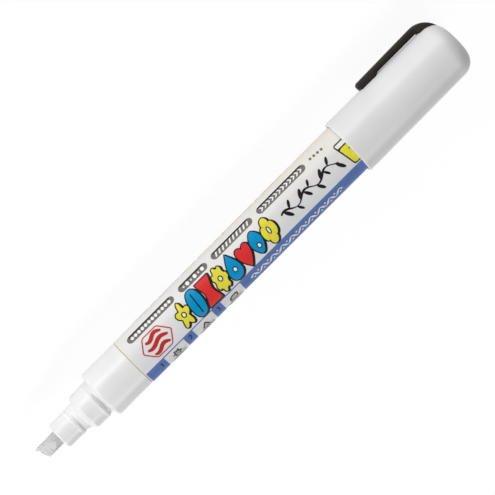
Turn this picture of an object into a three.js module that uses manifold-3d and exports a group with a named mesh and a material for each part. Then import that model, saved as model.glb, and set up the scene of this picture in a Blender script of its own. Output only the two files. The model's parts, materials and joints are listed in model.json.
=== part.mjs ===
// A pump marker with a chisel nib, its cap posted on the tail.
// The marker lies on a table as it comes to rest, on the cap's mouth, the collar and the end of the clip.
// The origin is the middle of the cap's flat end and +X runs along the axis to the nib. The pieces are
// made with the clip facing -Y and the front of the label facing +Z, and the whole marker is then turned
// about its axis until the clip touches the table. Lengths are in millimetres.
import * as THREE from 'three';
import { mergeVertices } from 'three/addons/utils/BufferGeometryUtils.js';
import Module from 'manifold-3d';

const wasm = await Module();
wasm.setup();

// Fineness of the round shapes
const bodySides = 24;
const coreSides = 24;
const arcSteps = 6;

// Barrel and label
const barrelLength = 100.1;
const barrelFrontRadius = 7.75;
const barrelTailRadius = 8.0;
const barrelWall = 1.25;
const tailRingLength = 2.0;
const tailChamfer = 0.5;
const labelThickness = 0.15;
const labelClearance = 0.03;
const labelFrontMargin = 0.35;

// Cap
const capLength = 42.5;
const capWall = 0.9;
const capEndWall = 1.4;
const capDraft = 0.25;
const capShoulder = 5.0;
const capCornerWall = 0.8;
const capLipRound = 0.35;
const postClearance = 0.1;

// Inner cap
const innerCapLip = 26.6;
const innerCapWall = 0.85;
const innerCapRound = 2.5;
const innerCapEndGap = 1.2;
const flangeStart = 9.5;
const flangeLength = 2.0;
const sealClearance = 0.05;
const tailStopGap = 0.3;

// Clip
const clipLength = 28.9;
const clipTipInset = 0.5;
const clipStand = 2.2;
const clipDrop = 0.25;
const clipArmGap = 0.15;
const clipSeatGap = 0.25;
const clipPadLength = 5.4;
const clipPadRamp = 1.4;
const clipNoseLift = 0.5;
const clipArcRadius = 7.75;
const clipProud = 0.12;
const clipSink = 0.5;
const clipWidth = 5.6;
const clipRootWidth = 7.4;
const clipSplitGap = 0.3;
const tongueLength = 2.0;
const tongueWidth = 3.6;
const tongueStart = 5.9;
const tongueDepth = 0.7;

// Front collar
const collarGap = 0.1;
const collarLength = 12.95;
const collarInset = 0.05;
const collarRound = 0.45;
const collarWall = 1.1;
const spigotLength = 10.0;
const fitClearance = 0.05;

// Nib holder, from the collar's front face to the sleeve's front face
const neckLength = 2.05;
const neckDepth = 0.15;
const beadWidth = 0.6;
const beadHeight = 0.08;
const sealRadius = 5.85;
const sealLength = 3.7;
const coneLength = 1.7;
const grooveLength = 1.5;
const grooveDepth = 0.12;
const sleeveLength = 8.2;
const sleeveWall = 1.0;
const sleeveRound = 0.55;
const sleeveLipLength = 0.7;
const holderSpigotLength = 9.0;
const holderTaperLength = 1.0;

// Nib and its liner
const nibRadius = 2.2;
const nibOut = 7.4;
const nibSlant = THREE.MathUtils.degToRad(27.6);
const nibBevel = THREE.MathUtils.degToRad(22);
const nibEdge = 1.0;
const nibClearance = 0.1;
const linerWall = 0.8;
const linerLength = 10.5;
const fluteCount = 6;
const fluteWidth = 0.6;
const fluteDepth = 0.35;

// Valve
const nibTravel = 2.0;
const seatThickness = 1.2;
const seatPassage = 0.9;
const caseLength = 17.0;
const caseWall = 0.9;
const caseEndWall = 1.2;
const portCount = 4;
const portWidth = 2.4;
const portLength = 2.6;
const headThickness = 1.2;
const headClearance = 0.6;
const stemRadius = 1.5;
const tailStemRadius = 1.1;
const tailStemClearance = 0.3;
const tailStemOut = 0.8;
const socketDepth = 3.0;
const socketWall = 0.7;
const socketFloor = 1.0;
const socketGap = 1.2;
const socketSideGap = 0.6;
const springWire = 0.5;
const springInset = 0.5;
const springTurns = 7;
const springGap = 0.05;

// Tail plug and mixing balls
const plugLength = 6.0;
const plugWall = 1.0;
const plugInset = 0.3;
const ballRadius = 3.25;
const ballGap = 0.05;
const firstBallPlace = 24.0;
const ballSpacing = 9.0;

// Places and radii that follow from the sizes
const barrelTail = innerCapLip + tailStopGap;
const barrelFront = barrelTail + barrelLength;
const barrelRadiusAt = (x) => THREE.MathUtils.lerp(barrelTailRadius, barrelFrontRadius, x / barrelLength);
const labelDepth = labelThickness + labelClearance;
const boreRadius = Math.min(barrelFrontRadius, barrelTailRadius) - labelDepth - barrelWall;
const coveredRadius = Math.max(barrelTailRadius, barrelRadiusAt(capLength - barrelTail));
const capBoreRadius = coveredRadius + postClearance;
const capMouthRadius = capBoreRadius + capWall;
const capEndRadius = capMouthRadius - capDraft;
const innerCapRadius = sealRadius + sealClearance + innerCapWall;
const spigotRadius = boreRadius - fitClearance;
const collarBoreRadius = spigotRadius - collarWall;
const coreRadius = collarBoreRadius - fitClearance;
const collarFront = collarGap + collarLength;
const sleeveFront = collarFront + neckLength + beadWidth + sealLength + coneLength + sleeveLength;
const nibTip = sleeveFront + nibOut;
const linerBoreRadius = nibRadius + nibClearance;
const linerRadius = linerBoreRadius + linerWall;
const sleeveBoreRadius = linerRadius + fitClearance;
const sleeveRadius = sleeveBoreRadius + sleeveWall;
const socketRadius = nibRadius + fitClearance + socketWall;
const holderBoreRadius = socketRadius + socketSideGap;
const holderRear = collarFront - holderSpigotLength;
const seatFront = holderRear - fitClearance;
const seatRear = seatFront - seatThickness;
const caseFront = seatRear - fitClearance;
const caseRear = caseFront - caseLength;
const caseBoreRadius = coreRadius - caseWall;
const headFront = seatRear - fitClearance;
const headRear = headFront - headThickness;
const socketRear = seatFront + nibTravel + socketGap;
const nibRear = socketRear + socketFloor + fitClearance;

// The turn about the axis at which the clip's free end touches the table that the cap and collar lie on
const clipFreeEnd = clipTipInset + clipLength;
const clipOuterRadius = capMouthRadius + clipStand;
const clipEndRadius = clipOuterRadius - clipDrop;
const tableFall = (capMouthRadius - barrelFrontRadius + collarInset) / (barrelFront + collarFront - capLength);
const tableDepth = capMouthRadius + tableFall * (capLength - clipFreeEnd);
const clipHalfAngle = Math.asin(clipWidth / 2 / clipEndRadius);
const restTurn = Math.PI / 2 - clipHalfAngle - Math.acos(Math.min(1, tableDepth / clipEndRadius));

// The closed surface of a geometry, with shared corners merged and empty triangles left out
function closedSurface(geometry) {
  const bare = new THREE.BufferGeometry();
  bare.setAttribute('position', geometry.getAttribute('position').clone());
  bare.setIndex(geometry.index ? geometry.index.clone() : null);
  const merged = mergeVertices(bare, 1e-4);
  const corners = merged.index.array;
  const kept = [];
  for (let i = 0; i < corners.length; i += 3) {
    const [a, b, c] = [corners[i], corners[i + 1], corners[i + 2]];
    if (a !== b && b !== c && c !== a) kept.push(a, b, c);
  }
  merged.setIndex(kept);
  return merged;
}

function solidOf(geometry) {
  const surface = closedSurface(geometry);
  return new wasm.Manifold(new wasm.Mesh({
    numProp: 3,
    vertProperties: new Float32Array(surface.getAttribute('position').array),
    triVerts: new Uint32Array(surface.index.array),
  }));
}

function geometryOf(solid) {
  const mesh = solid.getMesh();
  const geometry = new THREE.BufferGeometry();
  geometry.setAttribute('position', new THREE.BufferAttribute(new Float32Array(mesh.vertProperties), 3));
  geometry.setIndex(new THREE.BufferAttribute(new Uint32Array(mesh.triVerts), 1));
  return geometry;
}

// A round body about the X axis. The profile holds [x, radius] points, out along the outside in +X and
// back along the inside. Radii are measured to the flats, which face +Z, -Z, +Y and -Y.
function revolved(profile, sides = bodySides) {
  const cornerScale = 1 / Math.cos(Math.PI / sides);
  const points = profile.map(([x, radius]) => new THREE.Vector2(radius * cornerScale, x));
  const geometry = new THREE.LatheGeometry(points, sides, Math.PI / sides);
  geometry.rotateZ(-Math.PI / 2);
  return closedSurface(geometry);
}

// Points of an arc round [x, radius], with angles from the +X direction towards the outside
function arc(x, radius, size, fromDegrees, toDegrees, steps = arcSteps) {
  const points = [];
  for (let i = 0; i <= steps; i += 1) {
    const angle = THREE.MathUtils.degToRad(THREE.MathUtils.lerp(fromDegrees, toDegrees, i / steps));
    points.push([x + size * Math.cos(angle), radius + size * Math.sin(angle)]);
  }
  return points;
}

const closed = (profile) => [...profile, profile[0]];

// A plate whose outline lies in the X-Z plane and which reaches from the axis past the outside at -Y
function plateTowardsClip(outline, thickness) {
  const shape = new THREE.Shape(outline.map(([x, z]) => new THREE.Vector2(x, z)));
  const geometry = new THREE.ExtrudeGeometry(shape, { depth: thickness, bevelEnabled: false, steps: 1 });
  geometry.rotateX(Math.PI / 2);
  return geometry;
}

function boxSolid(size, centre, turn = 0) {
  const geometry = new THREE.BoxGeometry(...size);
  geometry.translate(...centre);
  geometry.rotateX(turn);
  return solidOf(geometry);
}

// Cap
const capFlatRadius = capEndRadius - capShoulder;
const capOuterRadiusAt = (x) => {
  if (x >= capShoulder) {
    return THREE.MathUtils.lerp(capEndRadius, capMouthRadius, (x - capShoulder) / (capLength - capShoulder));
  }
  return capFlatRadius + Math.sqrt(Math.max(0, capShoulder ** 2 - (capShoulder - x) ** 2));
};

function capShellGeometry() {
  const insideRound = capShoulder - capCornerWall;
  return revolved([
    [0, 0],
    ...arc(capShoulder, capFlatRadius, capShoulder, 180, 90, 9),
    ...arc(capLength - capLipRound, capMouthRadius - capLipRound, capLipRound, 90, 0, 3),
    [capLength, capBoreRadius + capLipRound / 2],
    [capLength - capLipRound / 2, capBoreRadius],
    ...arc(capEndWall + insideRound, capBoreRadius - insideRound, insideRound, 90, 180),
    [capEndWall, 0],
  ]);
}

function innerCapGeometry() {
  const start = capEndWall + innerCapEndGap;
  const inside = innerCapRadius - innerCapWall;
  const insideRound = innerCapRound - innerCapWall;
  const flangeRadius = capBoreRadius - fitClearance;
  const lipChamfer = innerCapWall / 3;
  return revolved([
    [start, 0],
    ...arc(start + innerCapRound, innerCapRadius - innerCapRound, innerCapRound, 180, 90),
    [flangeStart, innerCapRadius],
    [flangeStart, flangeRadius],
    [flangeStart + flangeLength, flangeRadius],
    [flangeStart + flangeLength, innerCapRadius],
    [innerCapLip - lipChamfer, innerCapRadius],
    [innerCapLip, innerCapRadius - lipChamfer],
    [innerCapLip, inside + lipChamfer],
    [innerCapLip - lipChamfer, inside],
    ...arc(start + innerCapRound, inside - insideRound, insideRound, 90, 180),
    [start + innerCapWall, 0],
  ]);
}

// Clip. It follows the round of the cap: its top, its underside and the recess that its root lies in
// are all round about the axis, and its plan outline trims them.
const clipArcStart = clipTipInset + clipArcRadius;
const clipSplit = clipArcStart + clipProud;

const clipTopRadiusAt = (x) => {
  const reach = Math.min(clipArcRadius, Math.max(0, clipArcStart - x));
  const onArc = clipOuterRadius - clipArcRadius + Math.sqrt(clipArcRadius ** 2 - reach ** 2);
  return Math.max(onArc, capOuterRadiusAt(x) + clipProud);
};

const clipPlan = (margin, from, to) => {
  const halfRoot = clipRootWidth / 2 + margin;
  const halfArm = clipWidth / 2 + margin;
  const tip = clipTipInset - margin;
  const round = clipRootWidth / 2;
  const outline = [[to, -halfArm], [to, halfArm]];
  if (from < clipArcStart) {
    outline.push([clipArcStart, halfArm], [tip + round, halfRoot]);
    for (let i = 1; i < 2 * arcSteps; i += 1) {
      const angle = Math.PI / 2 + Math.PI * i / (2 * arcSteps);
      outline.push([tip + round + round * Math.cos(angle), halfRoot * Math.sin(angle)]);
    }
    outline.push([tip + round, -halfRoot], [clipArcStart, -halfArm]);
  } else {
    outline.push([from, halfArm], [from, -halfArm]);
  }
  return outline;
};

// The ring that the clip's root is cut from, between the cap's surface moved in by sink and the clip's top
function clipRootRing(sink, radialGap, rise, end) {
  const steps = 2 * arcSteps;
  const places = Array.from({ length: steps + 1 }, (_, i) => THREE.MathUtils.lerp(0.01, end, i / steps));
  const top = places.map((x) => [x, clipTopRadiusAt(x) + rise]);
  const under = places.map((x) => [x, Math.min(capOuterRadiusAt(x - sink), clipTopRadiusAt(x)) + radialGap]);
  under[0] = [places[0], capFlatRadius];
  return solidOf(revolved(closed([...top, ...under.reverse()])));
}

function tongueBox(margin) {
  const top = capOuterRadiusAt(tongueStart) + clipStand / 4;
  const bottom = capBoreRadius - tongueDepth - margin;
  const size = [tongueLength + 2 * margin, top - bottom, tongueWidth + 2 * margin];
  return boxSolid(size, [tongueStart + tongueLength / 2, -(top + bottom) / 2, 0]);
}

function clipRootSolid() {
  const plan = solidOf(plateTowardsClip(clipPlan(0, 0, clipSplit - clipSplitGap), 2 * clipOuterRadius));
  return clipRootRing(clipSink, clipSeatGap, 0, clipSplit).intersect(plan).add(tongueBox(0));
}

function capWithClipSeat() {
  const plan = solidOf(plateTowardsClip(clipPlan(clipSeatGap, 0, clipSplit), 2 * clipOuterRadius));
  const recess = clipRootRing(clipSink + clipSeatGap, 0, clipStand, clipSplit).intersect(plan);
  return solidOf(capShellGeometry()).subtract(recess).subtract(tongueBox(clipSeatGap));
}

function clipArmSolid() {
  const armRadius = capMouthRadius + clipArmGap;
  const padStart = clipFreeEnd - clipPadLength - clipNoseLift;
  const padRadiusAt = (x) => capOuterRadiusAt(x) + clipSeatGap / 2;
  const noseRound = clipStand / 4;
  const ring = solidOf(revolved(closed([
    [clipSplit, clipOuterRadius],
    ...arc(clipFreeEnd - noseRound, clipEndRadius - noseRound, noseRound, 90, 0, 3),
    [clipFreeEnd, capMouthRadius + clipNoseLift],
    [clipFreeEnd - clipNoseLift, padRadiusAt(clipFreeEnd)],
    [padStart, padRadiusAt(padStart)],
    [padStart - clipPadRamp, armRadius],
    [clipSplit, armRadius],
  ])));
  const plan = plateTowardsClip(clipPlan(0, clipSplit, clipFreeEnd + 1), 2 * clipOuterRadius);
  return ring.intersect(solidOf(plan));
}

// Barrel. Its own x starts at the tail.
const tankStart = plugInset + plugLength;

function barrelTubeGeometry() {
  const shoulder = tailRingLength;
  return revolved(closed([
    [0, barrelTailRadius - tailChamfer],
    [tailChamfer, barrelTailRadius],
    [shoulder, barrelRadiusAt(shoulder)],
    [shoulder, barrelRadiusAt(shoulder) - labelDepth],
    [barrelLength, barrelFrontRadius - labelDepth],
    [barrelLength, boreRadius],
    [0, boreRadius],
  ]));
}

function labelGeometry() {
  const start = tailRingLength + fitClearance;
  const end = barrelLength - labelFrontMargin;
  return revolved(closed([
    [start, barrelRadiusAt(start)],
    [end, barrelRadiusAt(end)],
    [end, barrelRadiusAt(end) - labelThickness],
    [start, barrelRadiusAt(start) - labelThickness],
  ]));
}

function tailPlugGeometry() {
  const radius = boreRadius - fitClearance;
  const end = plugInset + plugLength;
  return revolved([
    [plugInset, 0],
    [plugInset, radius - plugWall / 2],
    [plugInset + plugWall / 2, radius],
    [end - plugWall / 2, radius],
    [end, radius - plugWall / 2],
    [end, radius - plugWall],
    [plugInset + 2 * plugWall, radius - plugWall],
    [plugInset + plugWall, radius - 2 * plugWall],
    [plugInset + plugWall, 0],
  ], coreSides);
}

// Front of the marker. Its own x starts at the barrel's front edge.
function collarGeometry() {
  const radius = barrelFrontRadius - collarInset;
  return revolved(closed([
    [-spigotLength, spigotRadius - fitClearance],
    [-spigotLength + fitClearance, spigotRadius],
    [collarGap, spigotRadius],
    [collarGap, radius],
    ...arc(collarFront - collarRound, radius - collarRound, collarRound, 90, 0, 4),
    [collarFront, collarBoreRadius],
    [-spigotLength, collarBoreRadius],
  ]));
}

// A raised ring on a straight stretch, from a place forwards
const bead = (from, radius) => [
  [from, radius],
  [from + beadWidth / 4, radius + beadHeight],
  [from + 3 * beadWidth / 4, radius + beadHeight],
  [from + beadWidth, radius],
];

function nibHolderGeometry() {
  const neckEnd = collarFront + neckLength;
  const sealStart = neckEnd + beadWidth;
  const coneStart = sealStart + sealLength;
  const coneEnd = coneStart + coneLength;
  const grooveStart = coneEnd + beadWidth;
  const grooveEnd = grooveStart + grooveLength;
  const lip = sleeveFront - sleeveLipLength;
  const taperEnd = coneEnd;
  const neckRadius = sealRadius - neckDepth;
  return revolved(closed([
    [holderRear, coreRadius],
    [collarFront, coreRadius],
    [collarFront, neckRadius],
    [neckEnd, neckRadius],
    ...bead(neckEnd, sealRadius),
    [coneStart, sealRadius],
    ...bead(coneEnd, sleeveRadius),
    [grooveStart, sleeveRadius - grooveDepth],
    [grooveEnd, sleeveRadius - grooveDepth],
    ...bead(grooveEnd, sleeveRadius),
    ...arc(sleeveFront - sleeveRound, sleeveRadius - sleeveRound, sleeveRound, 90, 0, 4),
    [sleeveFront, linerBoreRadius + fitClearance],
    [lip, linerBoreRadius + fitClearance],
    [lip, sleeveBoreRadius],
    [taperEnd, sleeveBoreRadius],
    [taperEnd - holderTaperLength, Math.max(holderBoreRadius, sleeveBoreRadius)],
    [holderRear, Math.max(holderBoreRadius, sleeveBoreRadius)],
  ]));
}

function linerSolid() {
  const front = sleeveFront - sleeveLipLength - fitClearance;
  const rear = front - linerLength;
  let liner = solidOf(revolved(closed([
    [rear, linerRadius],
    [front, linerRadius],
    [front, linerBoreRadius],
    [rear, linerBoreRadius],
  ]), coreSides));
  for (let i = 0; i < fluteCount; i += 1) {
    const size = [linerLength + 2, 2 * fluteDepth, fluteWidth];
    const turn = 2 * Math.PI * i / fluteCount;
    liner = liner.subtract(boxSolid(size, [(front + rear) / 2, linerBoreRadius, 0], turn));
  }
  return liner;
}

// The chisel is a wedge whose edge is slanted: the long corner is on the clip's side
function nibSolid() {
  const rod = solidOf(revolved([
    [nibRear, 0],
    [nibRear, nibRadius],
    [nibTip, nibRadius],
    [nibTip, 0],
  ], coreSides));
  const reach = nibTip - nibRear + 4 * nibRadius;
  const halfEdge = nibEdge / 2;
  const halfRoot = halfEdge + reach * Math.tan(nibBevel);
  const section = new THREE.Shape([
    new THREE.Vector2(0, -halfEdge),
    new THREE.Vector2(reach, -halfRoot),
    new THREE.Vector2(reach, halfRoot),
    new THREE.Vector2(0, halfEdge),
  ]);
  const width = 8 * nibRadius + reach;
  const wedge = new THREE.ExtrudeGeometry(section, { depth: width, bevelEnabled: false, steps: 1 });
  wedge.translate(0, 0, -width / 2);
  const inwards = new THREE.Vector3(-Math.cos(nibSlant), -Math.sin(nibSlant), 0);
  const up = new THREE.Vector3(0, 0, 1);
  const alongEdge = new THREE.Vector3().crossVectors(inwards, up);
  const place = new THREE.Matrix4().makeBasis(inwards, up, alongEdge);
  place.setPosition(nibTip, -nibRadius, 0);
  wedge.applyMatrix4(place);
  return rod.intersect(solidOf(wedge));
}

function valveSeatGeometry() {
  const hole = stemRadius + seatPassage;
  return revolved(closed([
    [seatRear, coreRadius],
    [seatFront, coreRadius],
    [seatFront, hole],
    [seatRear, hole],
  ]), coreSides);
}

function valveCaseSolid() {
  const hole = tailStemRadius + tailStemClearance;
  let valveCase = solidOf(revolved(closed([
    [caseRear, coreRadius - caseWall],
    [caseRear + caseWall, coreRadius],
    [caseFront, coreRadius],
    [caseFront, caseBoreRadius],
    [caseRear + caseEndWall, caseBoreRadius],
    [caseRear + caseEndWall, hole],
    [caseRear, hole],
  ]), coreSides));
  for (let i = 0; i < portCount; i += 1) {
    const size = [portLength, 4 * caseWall, portWidth];
    const turn = 2 * Math.PI * i / portCount;
    const place = [caseRear + caseEndWall + portLength / 2, caseBoreRadius + caseWall, 0];
    valveCase = valveCase.subtract(boxSolid(size, place, turn));
  }
  return valveCase;
}

function valveRodGeometry() {
  const headRadius = caseBoreRadius - headClearance;
  return revolved([
    [caseRear - tailStemOut, 0],
    [caseRear - tailStemOut, tailStemRadius - fitClearance],
    [caseRear - tailStemOut + fitClearance, tailStemRadius],
    [headRear, tailStemRadius],
    [headRear, headRadius],
    [headFront, headRadius],
    [headFront, stemRadius],
    [socketRear, stemRadius],
    [socketRear, socketRadius],
    [nibRear + socketDepth, socketRadius],
    [nibRear + socketDepth, nibRadius + fitClearance],
    [socketRear + socketFloor, nibRadius + fitClearance],
    [socketRear + socketFloor, 0],
  ], coreSides);
}

class Coil extends THREE.Curve {
  constructor(radius, start, length, turns) {
    super();
    Object.assign(this, { radius, start, length, turns });
  }

  getPoint(t, target = new THREE.Vector3()) {
    const angle = 2 * Math.PI * this.turns * t;
    const x = this.start + this.length * t;
    return target.set(x, this.radius * Math.cos(angle), this.radius * Math.sin(angle));
  }
}

function springGeometry() {
  const wire = springWire / 2;
  const start = caseRear + caseEndWall + springGap + wire;
  const end = headRear - springGap - wire;
  const coilRadius = caseBoreRadius - headClearance - springInset - wire;
  const path = new Coil(coilRadius, start, end - start, springTurns);
  const corners = Array.from({ length: 6 }, (_, i) => new THREE.Vector2(
    wire * Math.cos(Math.PI * i / 3),
    wire * Math.sin(Math.PI * i / 3),
  ));
  return new THREE.ExtrudeGeometry(new THREE.Shape(corners), {
    steps: springTurns * 12,
    extrudePath: path,
    bevelEnabled: false,
  });
}

// Materials
const finish = (color, roughness, metalness = 0) => ({ color, roughness, metalness });
const whitePlastic = finish(0xe6e6e6, 0.35);
const capPlastic = finish(0xdcdcdc, 0.4);
const blackPlastic = finish(0x25221f, 0.45);
const tankPlastic = finish(0xe8e2d2, 0.4);
const labelFilm = finish(0xe9e9e9, 0.3);
const corePlastic = finish(0xd8dcdc, 0.5);
const nibFelt = finish(0xcfcfcf, 0.95);
const sealRubber = finish(0x4a4a4a, 0.8);
const springSteel = finish(0xb4b6b8, 0.3, 1);

function piece(name, geometry, look) {
  const surface = closedSurface(geometry);
  surface.computeVertexNormals();
  const mesh = new THREE.Mesh(surface, new THREE.MeshStandardMaterial({ ...look, flatShading: true }));
  mesh.name = name;
  return mesh;
}

const cap = new THREE.Group();
cap.add(
  piece('cap_shell', geometryOf(capWithClipSeat()), capPlastic),
  piece('inner_cap', innerCapGeometry(), corePlastic),
  piece('clip_root', geometryOf(clipRootSolid()), blackPlastic),
  piece('clip_arm', geometryOf(clipArmSolid()), blackPlastic),
);

const barrel = new THREE.Group();
barrel.position.x = barrelTail;
barrel.add(
  piece('barrel_tube', barrelTubeGeometry(), tankPlastic),
  piece('barrel_label', labelGeometry(), labelFilm),
  piece('tail_plug', tailPlugGeometry(), corePlastic),
);
const alongAxis = new THREE.Vector3(1, 0, 0);
for (let i = 0; i < 2; i += 1) {
  const ball = piece(`mixing_ball_${i + 1}`, new THREE.SphereGeometry(ballRadius, 16, 12), springSteel);
  ball.position.set(tankStart + firstBallPlace + i * ballSpacing, 0, -(boreRadius - ballRadius - ballGap));
  ball.position.applyAxisAngle(alongAxis, -restTurn);
  barrel.add(ball);
}

const front = new THREE.Group();
front.position.x = barrelFront;
front.add(
  piece('front_collar', collarGeometry(), whitePlastic),
  piece('nib_holder', nibHolderGeometry(), whitePlastic),
  piece('nib_liner', geometryOf(linerSolid()), corePlastic),
  piece('nib', geometryOf(nibSolid()), nibFelt),
  piece('valve_seat', valveSeatGeometry(), sealRubber),
  piece('valve_case', geometryOf(valveCaseSolid()), corePlastic),
  piece('valve_rod', valveRodGeometry(), corePlastic),
  piece('valve_spring', springGeometry(), springSteel),
);

const marker = new THREE.Group();
marker.name = 'marker';
marker.rotation.x = restTurn;
marker.add(cap, barrel, front);

export default marker;
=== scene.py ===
import json
import math

import bmesh
import bpy
from bpy.props import FloatProperty, FloatVectorProperty, PointerProperty
from mathutils import Matrix, Vector, noise


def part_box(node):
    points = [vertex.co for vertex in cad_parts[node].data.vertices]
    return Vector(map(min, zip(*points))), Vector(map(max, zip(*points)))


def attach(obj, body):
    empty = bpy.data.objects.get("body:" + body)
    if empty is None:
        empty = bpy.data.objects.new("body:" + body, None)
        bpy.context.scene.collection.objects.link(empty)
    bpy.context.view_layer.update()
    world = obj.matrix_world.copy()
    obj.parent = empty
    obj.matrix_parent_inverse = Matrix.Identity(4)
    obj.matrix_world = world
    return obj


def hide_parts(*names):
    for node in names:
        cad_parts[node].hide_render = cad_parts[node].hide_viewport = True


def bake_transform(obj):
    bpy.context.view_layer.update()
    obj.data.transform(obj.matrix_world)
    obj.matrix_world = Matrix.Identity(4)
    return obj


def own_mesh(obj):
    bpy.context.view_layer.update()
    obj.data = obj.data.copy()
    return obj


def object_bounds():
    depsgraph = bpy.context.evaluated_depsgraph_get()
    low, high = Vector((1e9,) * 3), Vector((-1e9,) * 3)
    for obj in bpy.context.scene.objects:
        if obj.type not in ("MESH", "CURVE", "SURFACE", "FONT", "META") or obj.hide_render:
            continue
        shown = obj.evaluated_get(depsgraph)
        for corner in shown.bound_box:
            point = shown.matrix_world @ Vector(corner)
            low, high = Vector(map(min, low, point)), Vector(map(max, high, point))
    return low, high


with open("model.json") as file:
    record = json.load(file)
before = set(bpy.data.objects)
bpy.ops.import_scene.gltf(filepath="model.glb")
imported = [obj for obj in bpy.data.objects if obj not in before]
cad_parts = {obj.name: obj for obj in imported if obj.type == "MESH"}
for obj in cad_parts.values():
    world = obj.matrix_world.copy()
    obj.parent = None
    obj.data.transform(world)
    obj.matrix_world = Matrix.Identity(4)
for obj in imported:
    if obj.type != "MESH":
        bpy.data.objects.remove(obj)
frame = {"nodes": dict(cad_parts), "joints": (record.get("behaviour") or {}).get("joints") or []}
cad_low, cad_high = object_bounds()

bl_info = {
    "name": "Paint marker",
    "version": (1, 0, 0),
    "blender": (4, 5, 0),
    "location": "3D View > Sidebar > Marker",
    "description": "Dresses a pump marker whose cap is posted on its tail",
    "category": "Add Mesh",
}

MM = 0.001
WELD = 1e-7
CAD_SIDES = 24
ROUND_SIDES = 160
FILM_SIDES = 240
SHARP_ANGLE = math.radians(32)
SUPPORT_EDGE = 0.15 * MM

# A round leaves a little of its side free, and has a step for each ROUND_STEP of its size.
ROUND_ROOM = 0.98
ROUND_POINTS = 6
ROUND_STEP = 0.35 * MM


def joint_named(name):
    """A joint of the frame."""
    return next(joint for joint in frame["joints"] if joint["name"] == name)


# The pieces are made with the clip towards -Y and the label's front towards +Z, and are then turned
# about the marker's axis, as far as the clip's hinge axis is turned in the frame.
HINGE_AXIS = joint_named("clip_flex")["axis"]
LYING = Matrix.Rotation(math.atan2(HINGE_AXIS[1], -HINGE_AXIS[2]), 4, "X")


def along(node):
    """Where a CAD node starts and ends along the marker's axis."""
    low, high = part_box(node)
    return low.x, high.x


def radius_at(node, place, reach=0.2 * MM):
    """The largest radius of a CAD node near a place on the axis, measured to its flats."""
    corners = [v.co for v in frame["nodes"][node].data.vertices if abs(v.co.x - place) < reach]
    return max(math.hypot(co.y, co.z) for co in corners) * math.cos(math.pi / CAD_SIDES)


CAP_END, CAP_MOUTH = along("cap_shell")
INNER_CAP_END, INNER_CAP_LIP = along("inner_cap")
BARREL_TAIL, BARREL_FRONT = along("barrel_tube")
LABEL_TAIL, LABEL_FRONT = along("barrel_label")
PLUG_REAR, PLUG_FRONT = along("tail_plug")
COLLAR_REAR, COLLAR_FRONT = along("front_collar")
HOLDER_REAR, SLEEVE_FRONT = along("nib_holder")
NIB_REAR, NIB_TIP = along("nib")
CLIP_TIP = along("clip_root")[0]
CLIP_FREE_END = along("clip_arm")[1]

LABEL_TAIL_RADIUS = radius_at("barrel_label", LABEL_TAIL)
LABEL_FRONT_RADIUS = radius_at("barrel_label", LABEL_FRONT)
CAP_RADIUS = radius_at("cap_shell", CAP_MOUTH, 1.0 * MM)
COLLAR_RADIUS = radius_at("front_collar", COLLAR_FRONT - 2.0 * MM, 12.0 * MM)
NIB_RADIUS = radius_at("nib", NIB_REAR)


def millimetres(name, value, description):
    """A size property whose default is given in millimetres."""
    return FloatProperty(name=name, description=description, default=value * MM, unit="LENGTH")


def colour(name, value, description):
    """A colour property."""
    return FloatVectorProperty(name=name, description=description, default=value, size=3,
                               subtype="COLOR", min=0, max=1)


def power(name, value, description):
    """A property for the power of some lamps."""
    return FloatProperty(name=name, description=description, default=value, min=0, unit="POWER")


class MarkerShape(bpy.types.PropertyGroup):
    """Sizes of the visible surfaces that the frame doesn't give."""

    cap_taper: millimetres("Cap taper", 0.25, "How much slimmer the cap's closed end is than its mouth")
    cap_shoulder: millimetres("Cap shoulder", 4.75, "Round between the cap's side and its flat end")
    cap_wall: millimetres("Cap wall", 0.9, "Wall of the cap at its mouth")
    cap_lip_round: millimetres("Cap lip round", 0.32, "Round on the edge of the cap's mouth")
    clip_width: millimetres("Clip width", 5.5, "Width of the clip's arm")
    clip_root_width: millimetres("Clip root width", 6.0, "Width of the clip where it sits on the cap")
    clip_edge_round: millimetres("Clip edge round", 0.5, "Round on the clip's long edges")
    label_thickness: millimetres("Label thickness", 0.15, "Thickness of the printed film")
    ink_step: millimetres("Ink step", 0.012, "Height that each printed layer stands above the one below")
    collar_round: millimetres("Collar round", 0.75, "Round on the front edge of the collar")
    bead_height: millimetres("Bead height", 0.1, "How far the raised rings on the nose stand out")
    recess_depth: millimetres("Recess depth", 0.7, "Depth of the groove on the sleeve's far side")
    neck_depth: millimetres("Neck depth", 1.47, "Depth of the neck on the nose's far side")
    nib_edge: millimetres("Nib edge", 0.9, "Thickness of the chisel's writing edge")


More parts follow.
